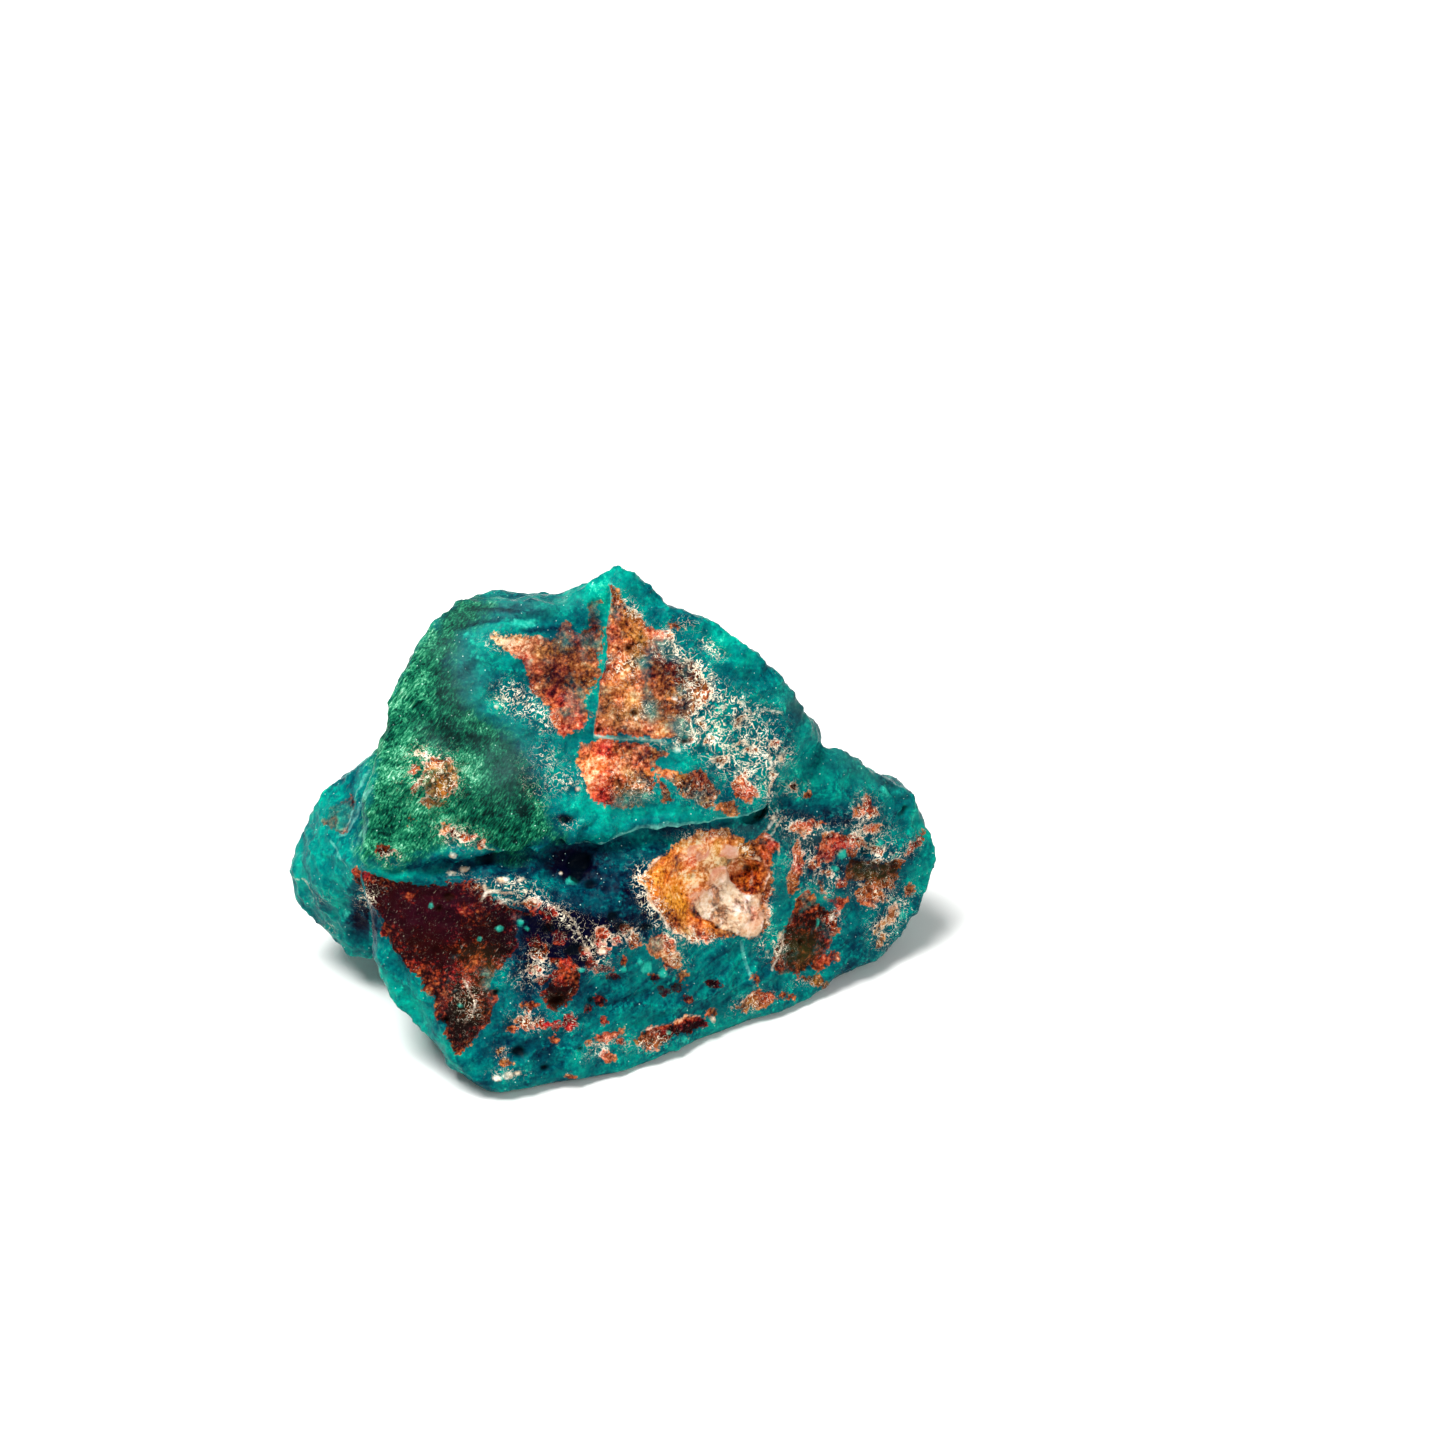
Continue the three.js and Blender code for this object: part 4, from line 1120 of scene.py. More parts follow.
def sampled(places: Field, size: float, octaves: int, offset: float = 0.0) -> Field:
    """Fractal noise at each place, about -1 to 1.

    Args:
        places: one row of x, y and z each, in mm.
        size: the size of its largest lumps, in mm.
        octaves: how many times a finer layer is added.
        offset: moves the pattern, so that two of one size differ.

    Returns:
        One number for each place.
    """
    rows = (places / size + offset).tolist()
    return np.array([noise.fractal(row, 1.0, 2.0, octaves) for row in rows])


def ridged(places: Field, size: float, offset: float = 0.0) -> Field:
    """Noise with sharp crests, from 0 in its hollows to 1 on its crests."""
    rows = (places / size + offset).tolist()
    return np.array([1 - abs(noise.noise(row)) * 2 for row in rows])


def crested(places: Field, size: float, offset: float = 0.0) -> Field:
    """Thin lines along the crests that chipped leaves.

    Args:
        places: one row of x, y and z each, in mm.
        size: the size given to chipped.
        offset: the offset given to it.

    Returns:
        Strengths from 0 to 1.
    """
    rows = (places / size + offset).tolist()
    near = np.array([noise.voronoi(row)[0][:2] for row in rows])
    return (1 - smoothstep(0.0, 0.3 / size, near[:, 1] - near[:, 0])) * smoothstep(0.2, 0.6, near[:, 0])


def chipped(places: Field, size: float, offset: float = 0.0) -> Field:
    """Shallow scoops with sharp crests between them, as shell-like breaks leave.

    Args:
        places: one row of x, y and z each, in mm.
        size: the width of a scoop, in mm.
        offset: moves the pattern.

    Returns:
        Heights from 0 in the middle of a scoop to about 1 on a crest.
    """
    rows = (places / size + offset).tolist()
    return np.array([noise.voronoi(row)[0][0] ** 2 for row in rows])


@dataclass(frozen=True)
class Slant:
    """Noise drawn out along a slope.

    Attributes:
        rise: the slope's rise to the right, in degrees.
        size: of one streak along the slope, into the stone and across the slope, in mm.
        detail: how many finer layers it has.
        roughness: how strong they are.
    """

    rise: float
    size: tuple[float, float, float]
    detail: float
    roughness: float


@dataclass(frozen=True)
class Base:
    """What every part of the rock's material draws on, as nodes of one tree.

    Attributes:
        node: adds a node to the tree.
        layer: the marks.
        place: places in mm.
        broad: noise in clouds.
        middle: noise in patches.
        fine: noise as mottling.
        blotches: noise in earthy blotches.
        grains: the matrix's grains.
        sway: the middle noise about zero.
        swing: the fine noise about zero.
        rag: how far the noise moves an edge, in mm.
        bands: noise along the blue-green's bands.
        strands: noise along the crust's fibres.
        covers: how much each edged layer covers.
    """

    node: Callable[..., bpy.types.Node]
    layer: dict[Layer, bpy.types.NodeSocket]
    place: bpy.types.Node
    broad: bpy.types.Node
    middle: bpy.types.Node
    fine: bpy.types.Node
    blotches: bpy.types.Node
    grains: bpy.types.Node
    sway: bpy.types.Node
    swing: bpy.types.Node
    rag: bpy.types.Node
    bands: bpy.types.Node
    strands: bpy.types.Node
    covers: dict[Layer, bpy.types.Node]


@dataclass(frozen=True)
class RockFinish:
    """Waxy copper-stained silica with iron-stained matrix, as broken: no cut or polish.

    The blue-green is dense chrysocolla-bearing chalcedony. Its fresh breaks are smooth and a little shiny,
    and light goes slightly into it. The matrix is granular iron oxide, duller and rougher, and the crust on
    the left is packed fibres, which run up to the right. Colours are sRGB, each row from dark to pale, and
    sizes are in mm.

    Attributes:
        broad_size: the blue-green's clouds.
        middle_size: patches and ragged edges.
        fine_size: mottling.
        grain: the matrix's grains.
        blotch_size: earthy blotches in the matrix.
        tint_size: patches over which the matrix's hue drifts.
        thin_size: holes in thin matrix.
        squiggle_size: loops of lace.
        cleavage_size: the spar's grains.
        glint_gap: from one glint to the next.
        bands: the blue-green's faint bands, which rise to the right.
        strands: the crust's fibres.
        edge_rag: how far the middle noise moves an edge.
        fine_rag: how far the fine noise does.
        islands: the depth into the matrix beyond which noise opens no gaps.
        most_lace: a limit on the lace's strength.
        relief: how strong the finest relief is, and its height in metres.
        index: the refractive index of chalcedony.
        gloss: how much of the usual gloss its waxy skin keeps.
        glow: how much light goes into it, and how deep in metres.
        glow_reach: how deep each of red, green and blue goes against that.
    """

    # As broken, it looks waxy and deep where it is blue-green, and dull and crumbly where it is rusty.
    name: str = "copper_stained_chalcedony_and_iron_matrix"
    teal: tuple[str, ...] = ("#030318", "#012436", "#004650", "#006a68", "#008c7d", "#00ab90", "#44d2b0")
    crust: tuple[str, ...] = ("#00120f", "#02362b", "#07593f", "#247f58", "#55ab83", "#aee2c2")
    iron: tuple[str, ...] = (
        "#100308", "#330a0e", "#5a1c14", "#7f3a20", "#a5552f", "#cd6a40", "#e69a70", "#f2caa2",
    )
    earth: tuple[str, ...] = ("#120808", "#381f16", "#683d24", "#976036", "#bf8957", "#e2c298")
    ochre: tuple[str, ...] = ("#3d1204", "#8c360e", "#cc661c", "#e6822c", "#f2a65c", "#fad8aa")
    red: tuple[str, ...] = ("#240505", "#66140d", "#a32a1b", "#d04a30", "#e6805e", "#f2bd9c")
    spar: tuple[str, ...] = ("#8c4c2a", "#c98d64", "#dcbc98", "#ecdac0", "#faf2e6")
    lace: tuple[str, ...] = ("#a87a58", "#d6b890", "#efe2c6", "#f8f2e4", "#ffffff")
    bead: tuple[str, ...] = ("#067f6c", "#1fb099", "#6cdfc8")
    slate: str = "#38605a"
    olive: str = "#3f3f18"
    purple: str = "#34081a"
    blush: str = "#c9654a"
    # Pale milky lines, also used for painted highlights along edges:
    wisp_and_edge_light: str = "#8fded0"
    # Near-black painted shade for the hollows, in the blue-green and in the matrix:
    pit_shade: str = "#020a14"
    rusty_pit_shade: str = "#1c0803"
    # Painted highlight:
    glint: str = "#d9fff4"
    broad_size: float = 4.5455
    middle_size: float = 1.3333
    fine_size: float = 0.38462
    grain: float = 0.45
    blotch_size: float = 2.0833
    tint_size: float = 3.0303
    thin_size: float = 2.2222
    squiggle_size: float = 0.58824
    cleavage_size: float = 0.83333
    glint_gap: float = 0.76923
    bands: Slant = Slant(22.0, (6.0, 2.4, 0.5), 3.0, 0.6)
    strands: Slant = Slant(57.0, (1.3, 0.24, 0.16), 4.0, 0.7)
    edge_rag: float = 1.0
    fine_rag: float = 0.5
    islands: float = 0.7
    most_lace: float = 0.7
    relief: tuple[float, float] = (0.55, 0.00022)
    index: float = 1.54
    gloss: float = 0.015
    glow: tuple[float, float] = (0.06, 0.0012)
    glow_reach: tuple[float, float, float] = (0.3, 1.0, 0.9)

    def build(self) -> bpy.types.Material:
        """Makes the material from the stone's vertex attributes and its Object coordinates.

        Returns:
            The material.
        """
        material = bpy.data.materials.new(self.name)
        material.use_nodes = True
        tree = material.node_tree
        tree.nodes.clear()
        base = self.base(tree)
        node = base.node
        colour, veil, banding = self.blue_green(base)
        crust = self.green_crust(base, veil)
        iron_share, iron_edge, iron = self.matrix(base)
        lace_share = self.cream(base, iron_share, iron_edge)
        spar_share, spar = self.spar_grains(base)
        glints = self.glints(base, iron_share)

        # Milky lines, and painted highlights along the lip and the step, broken by noise.
        wisp_and_edge_light_gate = node("MapRange", base.middle, 0.38, 0.6, 0.1, 0.7)
        wisp_and_edge_light_share = node("Math MULTIPLY", base.covers[Layer.WISPS], wisp_and_edge_light_gate)

        # What lies over the blue-green, in order.
        lace = node("ValToRGB", base.middle, colours=self.lace)
        bead = node("ValToRGB", base.fine, colours=self.bead)
        # Hollows are painted near-black as shade, brown-black where the matrix is.
        pit_shade = node("Mix", iron_share, linear(self.pit_shade), linear(self.rusty_pit_shade), data_type="RGBA")
        for share, tone in (
            (veil, linear(self.slate)), (base.covers[Layer.FIBRES], crust), (wisp_and_edge_light_share, linear(self.wisp_and_edge_light)),
            (iron_share, iron), (lace_share, lace), (spar_share, spar), (base.covers[Layer.BEADS], bead),
            (base.covers[Layer.PITS], pit_shade), (glints, linear(self.glint)),
        ):
            colour = node("Mix", share, colour, tone, data_type="RGBA")

        # Relief too fine for the mesh, and how each part shines.
        grain_height = node("Math MULTIPLY", base.grains, iron_share)
        strand_height = node("Math MULTIPLY", base.strands, base.covers[Layer.FIBRES])
        height = base.middle
        for part, gain in ((base.fine, 0.6), (grain_height, -0.5), (strand_height, 0.5), (banding, 0.8)):
            height = node("Math MULTIPLY_ADD", part, gain, height)
        bump = node("Bump", *self.relief)
        tree.links.new(height.outputs[0], bump.inputs["Height"])
        rough = 0.2
        for part, gain in ((base.covers[Layer.FIBRES], 0.25), (iron_share, 0.35), (base.swing, 0.35)):
            rough = node("Math MULTIPLY_ADD", part, gain, rough)

        skin = node("BsdfPrincipled", colour)
        tree.links.new(rough.outputs[0], skin.inputs["Roughness"])
        tree.links.new(bump.outputs[0], skin.inputs["Normal"])
        skin.inputs["IOR"].default_value = self.index
        skin.inputs["Specular IOR Level"].default_value = self.gloss
        skin.inputs["Subsurface Weight"].default_value = self.glow[0]
        skin.inputs["Subsurface Scale"].default_value = self.glow[1]
        skin.inputs["Subsurface Radius"].default_value = self.glow_reach
        node("OutputMaterial", skin)
        return material

    def base(self, tree: bpy.types.NodeTree) -> Base:
        """Adds the marks, the noise and how much each edged layer covers.

        Args:
            tree: the node tree.

        Returns:
            The nodes that the rest draws on.
        """
        node = functools.partial(add_node, tree)
        layer = {each: node("Attribute", attribute_name=each.value).outputs["Fac"] for each in Layer}
        place = node("VectorMath SCALE", node("TexCoord").outputs["Object"], 1 / MM)
        broad = node("TexNoise", place, 1 / self.broad_size, 4.0, 0.6)
        middle = node("TexNoise", place, 1 / self.middle_size, 5.0, 0.62)
        fine = node("TexNoise", place, 1 / self.fine_size, 4.0, 0.65)
        blotches = node("TexNoise", place, 1 / self.blotch_size, 4.0, 0.65, 2.2, 0.5)
        grains = node("TexVoronoi", place, 1 / self.grain)
        sway = node("Math ADD", middle, -0.5)
        swing = node("Math ADD", fine, -0.5)
        rag = node("Math MULTIPLY", sway, self.edge_rag * 2)
        rag = node("Math MULTIPLY_ADD", swing, self.fine_rag * 2, rag)
        slanted = []
        for slant in (self.bands, self.strands):
            turn = (0.0, math.radians(-slant.rise), 0.0)
            drawn = node("Mapping", place, (0.0, 0.0, 0.0), turn, slant.size, vector_type="TEXTURE")
            slanted.append(node("TexNoise", drawn, 1.0, slant.detail, slant.roughness))
        bands, strands = slanted

        # How much an edged layer covers: its distance, made ragged, over a short range up to its most.
        covers = {}
        for mark, jitter, gain, low, high, most in (
            (Layer.FIBRES, rag, 1.8, -0.5, 0.9, 1.0), (Layer.WISPS, swing, 0.3, -0.14, 0.12, 1.0),
            (Layer.SPAR, rag, 0.25, -0.06, 0.16, 0.92), (Layer.BEADS, rag, 0.35, -0.08, 0.2, 0.8),
            (Layer.PITS, rag, 0.4, -0.12, 0.2, 0.92),
        ):
            edge = node("Math MULTIPLY_ADD", jitter, gain, layer[mark])
            covers[mark] = node("MapRange", edge, low, high, 0.0, most)
        return Base(
            node, layer, place, broad, middle, fine, blotches, grains, sway, swing, rag, bands, strands,
            covers,
        )

    def blue_green(self, base: Base) -> tuple[bpy.types.Node, bpy.types.Node, bpy.types.Node]:
        """Colours the blue-green by the marks' tone and painted light, broad and fine noise, faint bands,
        and painted highlights on crests.

        Args:
            base: the marks and the noise.

        Returns:
            Its colour, the strength of the grey veil over it, and its bands.
        """
        node, layer = base.node, base.layer
        # The marks' tone and painted light: above zero bright turquoise and painted light, below zero navy
        # and painted shade.
        lit = node("Math MAXIMUM", layer[Layer.LIGHT], 0.0)
        shaded = node("Math MINIMUM", layer[Layer.LIGHT], 0.0)
        banding = node("Math MULTIPLY", node("Math ADD", base.bands, -0.5), layer[Layer.BANDS])
        crest_highlight_gate = node("MapRange", base.fine, 0.45, 0.6, 0.0, 0.2)
        deep = 0.0
        for part, gain in (
            (shaded, 0.72), (lit, 0.24), (base.broad, 0.9), (base.sway, 0.7), (base.swing, 0.4),
            (banding, 0.5), (crest_highlight_gate, layer[Layer.CREST]),
        ):
            deep = node("Math MULTIPLY_ADD", part, gain, deep)
        veil = node("Math MULTIPLY", layer[Layer.SLATE], base.fine)
        veil = node("Math MULTIPLY", veil, 1.1, use_clamp=True)
        return node("ValToRGB", deep, colours=self.teal), veil, banding

    def green_crust(self, base: Base, veil: bpy.types.Node) -> bpy.types.Node:
        """Colours the green crust in fibres a few tenths of a millimetre wide.

        Args:
            base: the marks and the noise.
            veil: the strength of the grey veil.

        Returns:
            Its colour.
        """
        node, layer = base.node, base.layer
        # The marks' painted light and shade, with the crust's own tone, lighten and darken it along with
        # the fibres.
        depth = -1.11
        for part, gain in (
            (layer[Layer.LIGHT], 0.45), (base.strands, 2.2), (base.sway, 1.2), (base.broad, 0.8),
        ):
            depth = node("Math MULTIPLY_ADD", part, gain, depth)
        crust_veil = node("Math MULTIPLY", veil, 0.9)
        crust = node("ValToRGB", depth, colours=self.crust)
        return node("Mix", crust_veil, crust, linear(self.slate), data_type="RGBA")

    def matrix(self, base: Base) -> tuple[bpy.types.Node, bpy.types.Node, bpy.types.Node]:
        """Colours the iron-stained matrix in grains, from maroon through rust to orange.

        Args:
            base: the marks and the noise.

        Returns:
            How much it covers, its ragged distance from its edge, and its colour.
        """
        node, layer = base.node, base.layer
        heat = 0.51
        for part, gain in (
            (layer[Layer.HEAT], 0.75), (base.sway, 1.2), (base.swing, 1.8), (base.grains, -0.3),
        ):
            heat = node("Math MULTIPLY_ADD", part, gain, heat)
        earthy = node("Math MULTIPLY_ADD", layer[Layer.HEAT], 0.3, base.blotches)
        earthy = node("MapRange", earthy, 0.46, 0.62, 0.0, 0.8)
        iron = node("ValToRGB", heat, colours=self.iron)
        earth = node("ValToRGB", heat, colours=self.earth)
        iron = node("Mix", earthy, iron, earth, data_type="RGBA")

        # Other tints where the marks ask for them, and a drift in hue from place to place.
        for mark, patches, gain, tone in (
            (Layer.RED, base.middle, 1.8, node("ValToRGB", heat, colours=self.red)),
            (Layer.OCHRE, base.fine, 1.8, node("ValToRGB", heat, colours=self.ochre)),
            (Layer.DRAB, base.middle, 1.2, linear(self.olive)),
            (Layer.DRAB, base.middle, -1.1, linear(self.purple)),
        ):
            share = node("Math MULTIPLY", layer[mark], patches)
            share = node("Math MULTIPLY", share, gain, use_clamp=True)
            iron = node("Mix", share, iron, tone, data_type="RGBA")
        drift = node("TexNoise", base.place, 1 / self.tint_size, 4.0, 0.6)
        hue = node("MapRange", drift, 0.38, 0.62, 0.49, 0.518)
        iron = node("HueSaturation", hue, 1.0, 1.0, 1.0, iron)

        # Its edge, more frayed where there is lace, and holes where it is thin.
        iron_depth = node("Math MINIMUM", layer[Layer.RUST], self.islands)
        fraying = node("Math MULTIPLY_ADD", layer[Layer.LACE], 0.5, 1.0)
        iron_edge = node("Math MULTIPLY_ADD", base.rag, fraying, iron_depth)
        thinness = node("TexNoise", base.place, 1 / self.thin_size, 5.0, 0.68)
        thinness = node("Math MULTIPLY_ADD", layer[Layer.THIN], 0.35, thinness)
        solid = node("MapRange", thinness, 0.54, 0.8, 1.0, 0.2)
        iron_share = node("Math MULTIPLY", node("MapRange", iron_edge, -0.14, -0.02), solid)
        return iron_share, iron_edge, iron

    def cream(self, base: Base, iron_share: bpy.types.Node, iron_edge: bpy.types.Node) -> bpy.types.Node:
        """Places the cream: a broken rim round the matrix, squiggles, and dashes along the fibres.

        Args:
            base: the marks and the noise.
            iron_share: how much the matrix covers.
            iron_edge: its ragged distance from its edge.

        Returns:
            How much the cream covers.
        """
        node, layer = base.node, base.layer
        rim_gate = node("Math MULTIPLY_ADD", layer[Layer.LACE], 0.8, base.middle)
        rim_gate = node("MapRange", rim_gate, 0.72, 0.95, 0.0, 0.9)
        rim = node("Math MULTIPLY", node("Math COMPARE", iron_edge, -0.03, 0.1), rim_gate)
        rim = node("Math MULTIPLY", rim, node("MapRange", base.fine, 0.40, 0.52, 0.15, 1.0))

        # Squiggles run where a noise crosses its middle, and are as wide as the lace is strong.
        squiggle = node("TexNoise", base.place, 1 / self.squiggle_size, 2.0, 0.5, 2.0, 0.9)
        squiggle = node("Math ABSOLUTE", node("Math SUBTRACT", squiggle, 0.5))
        width = node("Math MULTIPLY_ADD", iron_share, 0.04, layer[Layer.LACE])
        width = node("Math MULTIPLY", node("Math MINIMUM", width, self.most_lace), 0.052)
        squiggle = node("MapRange", node("Math SUBTRACT", width, squiggle), 0.0, 0.012)
        squiggle = node("Math MULTIPLY", squiggle, node("MapRange", base.middle, 0.38, 0.48))

        # Dashes are the strands' palest parts.
        dash_gate = node("Math MULTIPLY_ADD", iron_share, 0.25, layer[Layer.LACE])
        dash_gate = node("Math ADD", dash_gate, 0.06, use_clamp=True)
        dash = node("Math MULTIPLY", node("MapRange", base.strands, 0.63, 0.70, 0.0, 0.9), dash_gate)
        return node("Math MAXIMUM", node("Math MAXIMUM", rim, squiggle), dash)

    def spar_grains(self, base: Base) -> tuple[bpy.types.Node, bpy.types.Node]:
        """Colours the spar in cleaved grains about a millimetre across, with rusty blushes.

        Args:
            base: the marks and the noise.

        Returns:
            How much it covers, and its colour.
        """
        node, layer = base.node, base.layer
        cleavage = node("TexVoronoi", base.place, 1 / self.cleavage_size)
        depth = base.fine
        for part, gain in ((cleavage.outputs["Color"], 0.55), (base.sway, 1.2)):
            depth = node("Math MULTIPLY_ADD", part, gain, depth)
        depth = node("Math ADD", depth, -0.14)
        spar = node("ValToRGB", depth, colours=self.spar)
        blush = node("Math MULTIPLY", layer[Layer.HEAT], base.middle)
        blush = node("Math MULTIPLY", blush, 2.2, use_clamp=True)
        spar = node("Mix", blush, spar, linear(self.blush), data_type="RGBA")
        stained = node("MapRange", base.blotches, 0.38, 0.5, 0.15, 1.0)
        return node("Math MULTIPLY", base.covers[Layer.SPAR], stained), spar

    def glints(self, base: Base, iron_share: bpy.types.Node) -> bpy.types.Node:
        """Paints highlights: tiny pale glints on the fresh breaks.

        Args:
            base: the marks and the noise.
            iron_share: how much the matrix covers.

        Returns:
            How bright they are.
        """
        node = base.node
        # These are painted highlights: real glints are too fine to show, so they are drawn as coarse as the
        # image needs.
        glints = node("TexVoronoi", base.place, 1 / self.glint_gap)
        glints = node("MapRange", glints, 0.09, 0.05, 0.0, 0.8)
        glint_gate = node("MapRange", base.middle, 0.42, 0.56, 0.25, 1.0)
        glint_gate = node("Math MULTIPLY_ADD", iron_share, -0.7, glint_gate)
        return node("Math MULTIPLY", glints, glint_gate, use_clamp=True)


@dataclass
class Stone:
    """The whole lump as one closed mesh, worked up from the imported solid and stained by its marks.

    Attributes:
        stain: works out the layers of marks.
        finish: the rock's material.
        voxel: the edge of the even mesh that the fine relief is worked into.
        fresh: how squarely a face must look at the viewpoint to be divided once more.
        smoothing: how often the even mesh is relaxed.
        chips: each size of chip: how high its crests stand, how wide it is, and what moves its pattern.
        chip_level: what brings the chips' crests and hollows to zero on average.
        clearance: how far above a vertex the line of sight starts.
        screen_depth: how far away another part must be to hide a vertex, so that narrow hollows keep their
            marks.
        foot_fade: height over which the relief grows from nothing at the foot.
    """

    stain: Stain
    finish: RockFinish = RockFinish()
    name: str = "weathered_rock"
    voxel: float = 0.495
    fresh: float = 0.02
    smoothing: int = 2
    chips: tuple[tuple[float, float, float], ...] = ((0.8, 5.5, 4.0), (0.42, 2.1, 8.0), (0.2, 1.0, 6.0))
    chip_level: float = 0.55
    clearance: float = 0.4
    screen_depth: float = 5.0
    foot_fade: float = 1.2

    def build(self) -> bpy.types.Object:
        """Makes the stone and dresses it.

        Returns:
            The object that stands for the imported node.
        """
        even = self.even_mesh()
        mesh = self.refined(even)
        places, normals = self.read(mesh)
        layers = self.stain.over(places, normals, self.screened(mesh, places, normals))
        # Crests between chips, which get a painted highlight in the blue-green.
        wide, narrow = (crested(places, *pattern) for _, *pattern in self.chips[:2])
        layers[Layer.CREST] = wide + 0.7 * narrow
        height = self.relief(places, layers) + self.stain.steps(places, normals)
        places = places + normals * height[:, None]
        self.write(mesh, self.fitted(places), layers)
        stone = add_object(self.name, mesh)
        mesh.materials.append(self.finish.build())
        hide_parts(NODE)
        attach(stone, BODY)
        return stone

    def even_mesh(self) -> bpy.types.Mesh:
        """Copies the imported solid, merges its corners and rebuilds it in small squares.

        Returns:
            The even mesh.
        """
        shape = bmesh.new()
        shape.from_mesh(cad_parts[NODE].data)
        bmesh.ops.remove_doubles(shape, verts=shape.verts, dist=0.001 * MM)
        mesh = bpy.data.meshes.new(self.name)
        shape.to_mesh(mesh)
        shape.free()
        draft = add_object("draft", mesh)
        remesh = draft.modifiers.new("even", "REMESH")
        remesh.mode = "VOXEL"
        remesh.voxel_size = self.voxel * MM
        graph = bpy.context.evaluated_depsgraph_get()
        even = bpy.data.meshes.new_from_object(draft.evaluated_get(graph))
        bpy.data.objects.remove(draft)
        return even

    def refined(self, even: bpy.types.Mesh) -> bpy.types.Mesh:
        """Relaxes the even mesh and divides what faces the viewpoint once more.

        Args:
            even: the even mesh.

        Returns:
            The mesh that the relief goes into.
        """
        shape = bmesh.new()
        shape.from_mesh(even)
        axes = {"use_axis_x": True, "use_axis_y": True, "use_axis_z": True}
        for _ in range(self.smoothing):
            bmesh.ops.smooth_vert(shape, verts=shape.verts, factor=0.5, **axes)
        shape.normal_update()
        centres = np.array([face.calc_center_median() for face in shape.faces]) / MM
        normals = np.array([face.normal for face in shape.faces])
        facing = self.stain.viewpoint.facing(centres, normals)
        shown = [face for face, share in zip(shape.faces, facing) if share > self.fresh]
        edges = list({edge for face in shown for edge in face.edges})
        bmesh.ops.subdivide_edges(shape, edges=edges, cuts=1, use_grid_fill=True)
        wide = [face for face in shape.faces if len(face.verts) > 4]
        bmesh.ops.triangulate(shape, faces=wide)
        bmesh.ops.smooth_vert(shape, verts=shape.verts, factor=0.4, **axes)
        for face in shape.faces:
            face.smooth = True
        mesh = bpy.data.meshes.new(self.name)
        shape.to_mesh(mesh)
        shape.free()
        return mesh

    def read(self, mesh: bpy.types.Mesh) -> tuple[Field, Field]:
        """Reads a mesh's vertices.

        Args:
            mesh: the mesh.

        Returns:
            Their places in mm and their normals.
        """
        flat = np.empty(len(mesh.vertices) * 3, np.float32)
        mesh.vertices.foreach_get("co", flat)
        places = flat.reshape(-1, 3).astype(float) / MM
        mesh.vertices.foreach_get("normal", flat)
        return places, flat.reshape(-1, 3).astype(float)

    def screened(self, mesh: bpy.types.Mesh, places: Field, normals: Field) -> Field:
        """Tells where the stone itself stands well in front of a vertex.

        Args:
            mesh: the mesh.
            places: its vertices in mm.
            normals: their normals.

        Returns:
            True for each vertex that the viewpoint can't see past another part of the stone.
        """
        tree = BVHTree.FromPolygons(places.tolist(), [tuple(face.vertices) for face in mesh.polygons])
        eye = self.stain.viewpoint.eye()
        starts = places + normals * self.clearance
        ways = (eye - starts) / np.linalg.norm(eye - starts, axis=1)[:, None]
        hits = [tree.ray_cast(start, way)[3] for start, way in zip(starts.tolist(), ways.tolist())]
        return np.array([hit is not None and hit > self.screen_depth for hit in hits])

    def relief(self, places: Field, layers: dict[Layer, Field]) -> Field:
        """How far each vertex moves out of the surface.

        Args:
            places: vertices in mm.
            layers: the marks at each vertex.

        Returns:
            Distances in mm, below zero inwards.
        """
        ragged = sampled(places, 1.6, 3, 5.0)
        iron = smoothstep(-0.15, 0.25, layers[Layer.RUST] + 0.45 * ragged)
        crust = smoothstep(-0.6, 0.6, layers[Layer.FIBRES])
        grains = ridged(places, 0.9, 3.0)
        height = 0.40 * sampled(places, 4.5, 4, 1.0)
        height += sum(rise * chipped(places, *pattern) for rise, *pattern in self.chips)
        height -= self.chip_level
        height += 0.09 * sampled(places, 0.8, 2, 2.0)
        height += iron * (-0.22 + 0.22 * sampled(places, 0.8, 2, 7.0) + 0.08 * grains)
        height += crust * 0.10 * sampled(places, 0.9, 2, 9.0)
        for mark, rise, low, high, fraying in (
            (Layer.SPAR, 0.16, -0.1, 0.2, 0.2), (Layer.BEADS, 0.14, -0.1, 0.2, 0.0),
            (Layer.LIPS, 0.26, -0.3, 0.25, 0.0), (Layer.PITS, -0.6, -0.2, 0.4, 0.35),
        ):
            height += rise * smoothstep(low, high, layers[mark] + fraying * ragged)
        return height * smoothstep(0.0, self.foot_fade, places[:, 2])

    def fitted(self, places: Field) -> Field:
        """Stretches the worked mesh by a hair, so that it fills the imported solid's box exactly.

        Args:
            places: vertices in mm.

        Returns:
            The same vertices in the box.
        """
        low, high = (np.array(corner) / MM for corner in CAD_BOX)
        bottom, top = places.min(axis=0), places.max(axis=0)
        return low + (places - bottom) * (high - low) / (top - bottom)

    def write(self, mesh: bpy.types.Mesh, places: Field, layers: dict[Layer, Field]) -> None:
        """Puts the moved vertices and the layers into the mesh.

        Args:
            mesh: the mesh.
            places: its vertices in mm.
            layers: the marks at each vertex.
        """
        mesh.vertices.foreach_set("co", (places * MM).astype(np.float32).ravel())
        for layer, values in layers.items():
            attribute = mesh.attributes.new(layer.value, "FLOAT", "POINT")
            attribute.data.foreach_set("value", values.astype(np.float32))
        mesh.update()


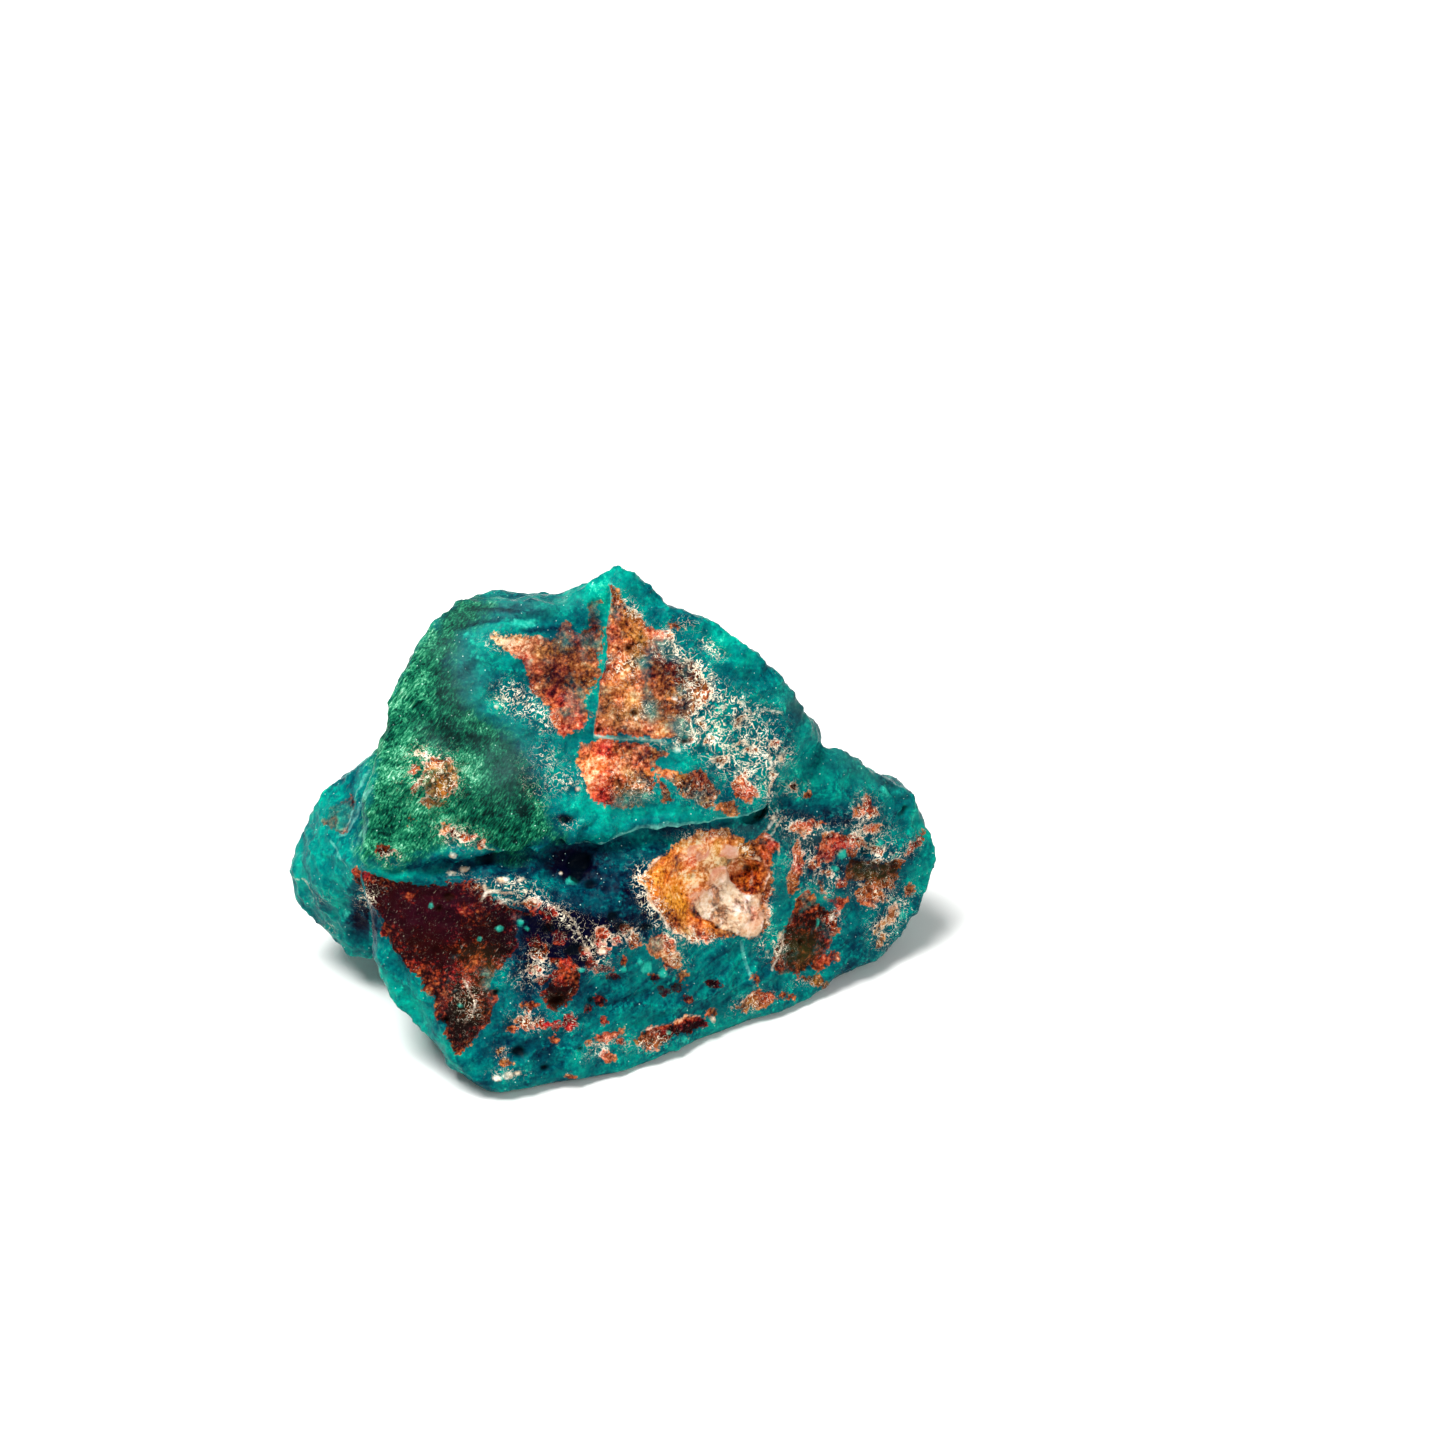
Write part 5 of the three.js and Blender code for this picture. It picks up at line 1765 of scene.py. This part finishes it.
@dataclass(frozen=True)
class PaperFinish:
    """Uncoated white paper, the floor's finish."""

    # Matt: it takes the soft shadow and gives no highlight.
    name: str = "matt_white_paper"
    white: str = "#f6f6f4"
    roughness: float = 0.9

    def build(self) -> bpy.types.Material:
        """Makes the material.

        Returns:
            The material.
        """
        material = bpy.data.materials.new(self.name)
        material.use_nodes = True
        skin = material.node_tree.nodes["Principled BSDF"]
        skin.inputs["Base Color"].default_value = linear(self.white)
        skin.inputs["Roughness"].default_value = self.roughness
        return material


@dataclass(frozen=True)
class Lamp:
    """A square soft light: its name, place and side in metres, and power in watts."""

    name: str
    place: tuple[float, float, float]
    side: float
    power: float

    def hang(self, target: Vector) -> None:
        """Hangs it so that it points at the target.

        Args:
            target: a point in metres.
        """
        light = bpy.data.lights.new(self.name, "AREA")
        light.size = self.side
        light.energy = self.power
        lamp = add_object(self.name, light)
        lamp.location = self.place
        lamp.rotation_euler = (target - Vector(self.place)).to_track_quat("-Z", "Y").to_euler()


@dataclass
class Studio:
    """A pale floor, soft lights and the camera.

    Attributes:
        viewpoint: where the camera stands.
        floor_half: half the floor's side, in metres.
        paper: the floor's finish.
        surround: the strength of the white surroundings.
        lamps: the lights.
        target: what they point at, in metres.
    """

    viewpoint: Viewpoint
    floor_half: float = 1.5
    paper: PaperFinish = PaperFinish()
    surround: float = 0.32
    lamps: tuple[Lamp, ...] = (
        Lamp("key", (-0.20, -0.05, 0.62), 0.32, 6.6), Lamp("fill", (0.45, -0.40, 0.35), 0.40, 1.5),
    )
    target: tuple[float, float, float] = (0.0, 0.0, 0.018)

    def floor(self) -> bpy.types.Object:
        """Lays the floor under the stone.

        Returns:
            The floor.
        """
        shape = bmesh.new()
        bmesh.ops.create_grid(shape, x_segments=1, y_segments=1, size=self.floor_half)
        mesh = bpy.data.meshes.new("floor")
        shape.to_mesh(mesh)
        shape.free()
        floor = add_object("floor", mesh)
        mesh.materials.append(self.paper.build())
        return floor

    def light(self) -> None:
        """Sets the even white surroundings and the lamps."""
        world = bpy.data.worlds.new("white_room")
        world.use_nodes = True
        background = world.node_tree.nodes["Background"]
        background.inputs["Color"].default_value = linear("#ffffff")
        background.inputs["Strength"].default_value = self.surround
        bpy.context.scene.world = world
        for lamp in self.lamps:
            lamp.hang(Vector(self.target))
        bpy.context.scene.view_settings.view_transform = "Standard"

    def camera(self) -> None:
        """Stands the camera at the viewpoint."""
        lens = bpy.data.cameras.new("camera")
        lens.sensor_width = self.viewpoint.sensor
        lens.lens = self.viewpoint.lens
        camera = add_object("camera", lens)
        _, _, back = self.viewpoint.axes()
        camera.location = Vector(self.viewpoint.eye() * MM)
        camera.rotation_euler = (-Vector(back)).to_track_quat("-Z", "Y").to_euler()
        bpy.context.scene.camera = camera


def main() -> None:
    """Builds the camera, the stone and the studio in order."""
    logging.basicConfig(level=logging.INFO, format="%(name)s: %(message)s")
    viewpoint = Viewpoint()
    studio = Studio(viewpoint)
    studio.camera()
    for piece in (Stone(Stain(viewpoint)).build(), studio.floor()):
        piece.data.calc_loop_triangles()
        LOG.info("%s: %d triangles", piece.name, len(piece.data.loop_triangles))
    studio.light()


if __name__ == "__main__":
    main()
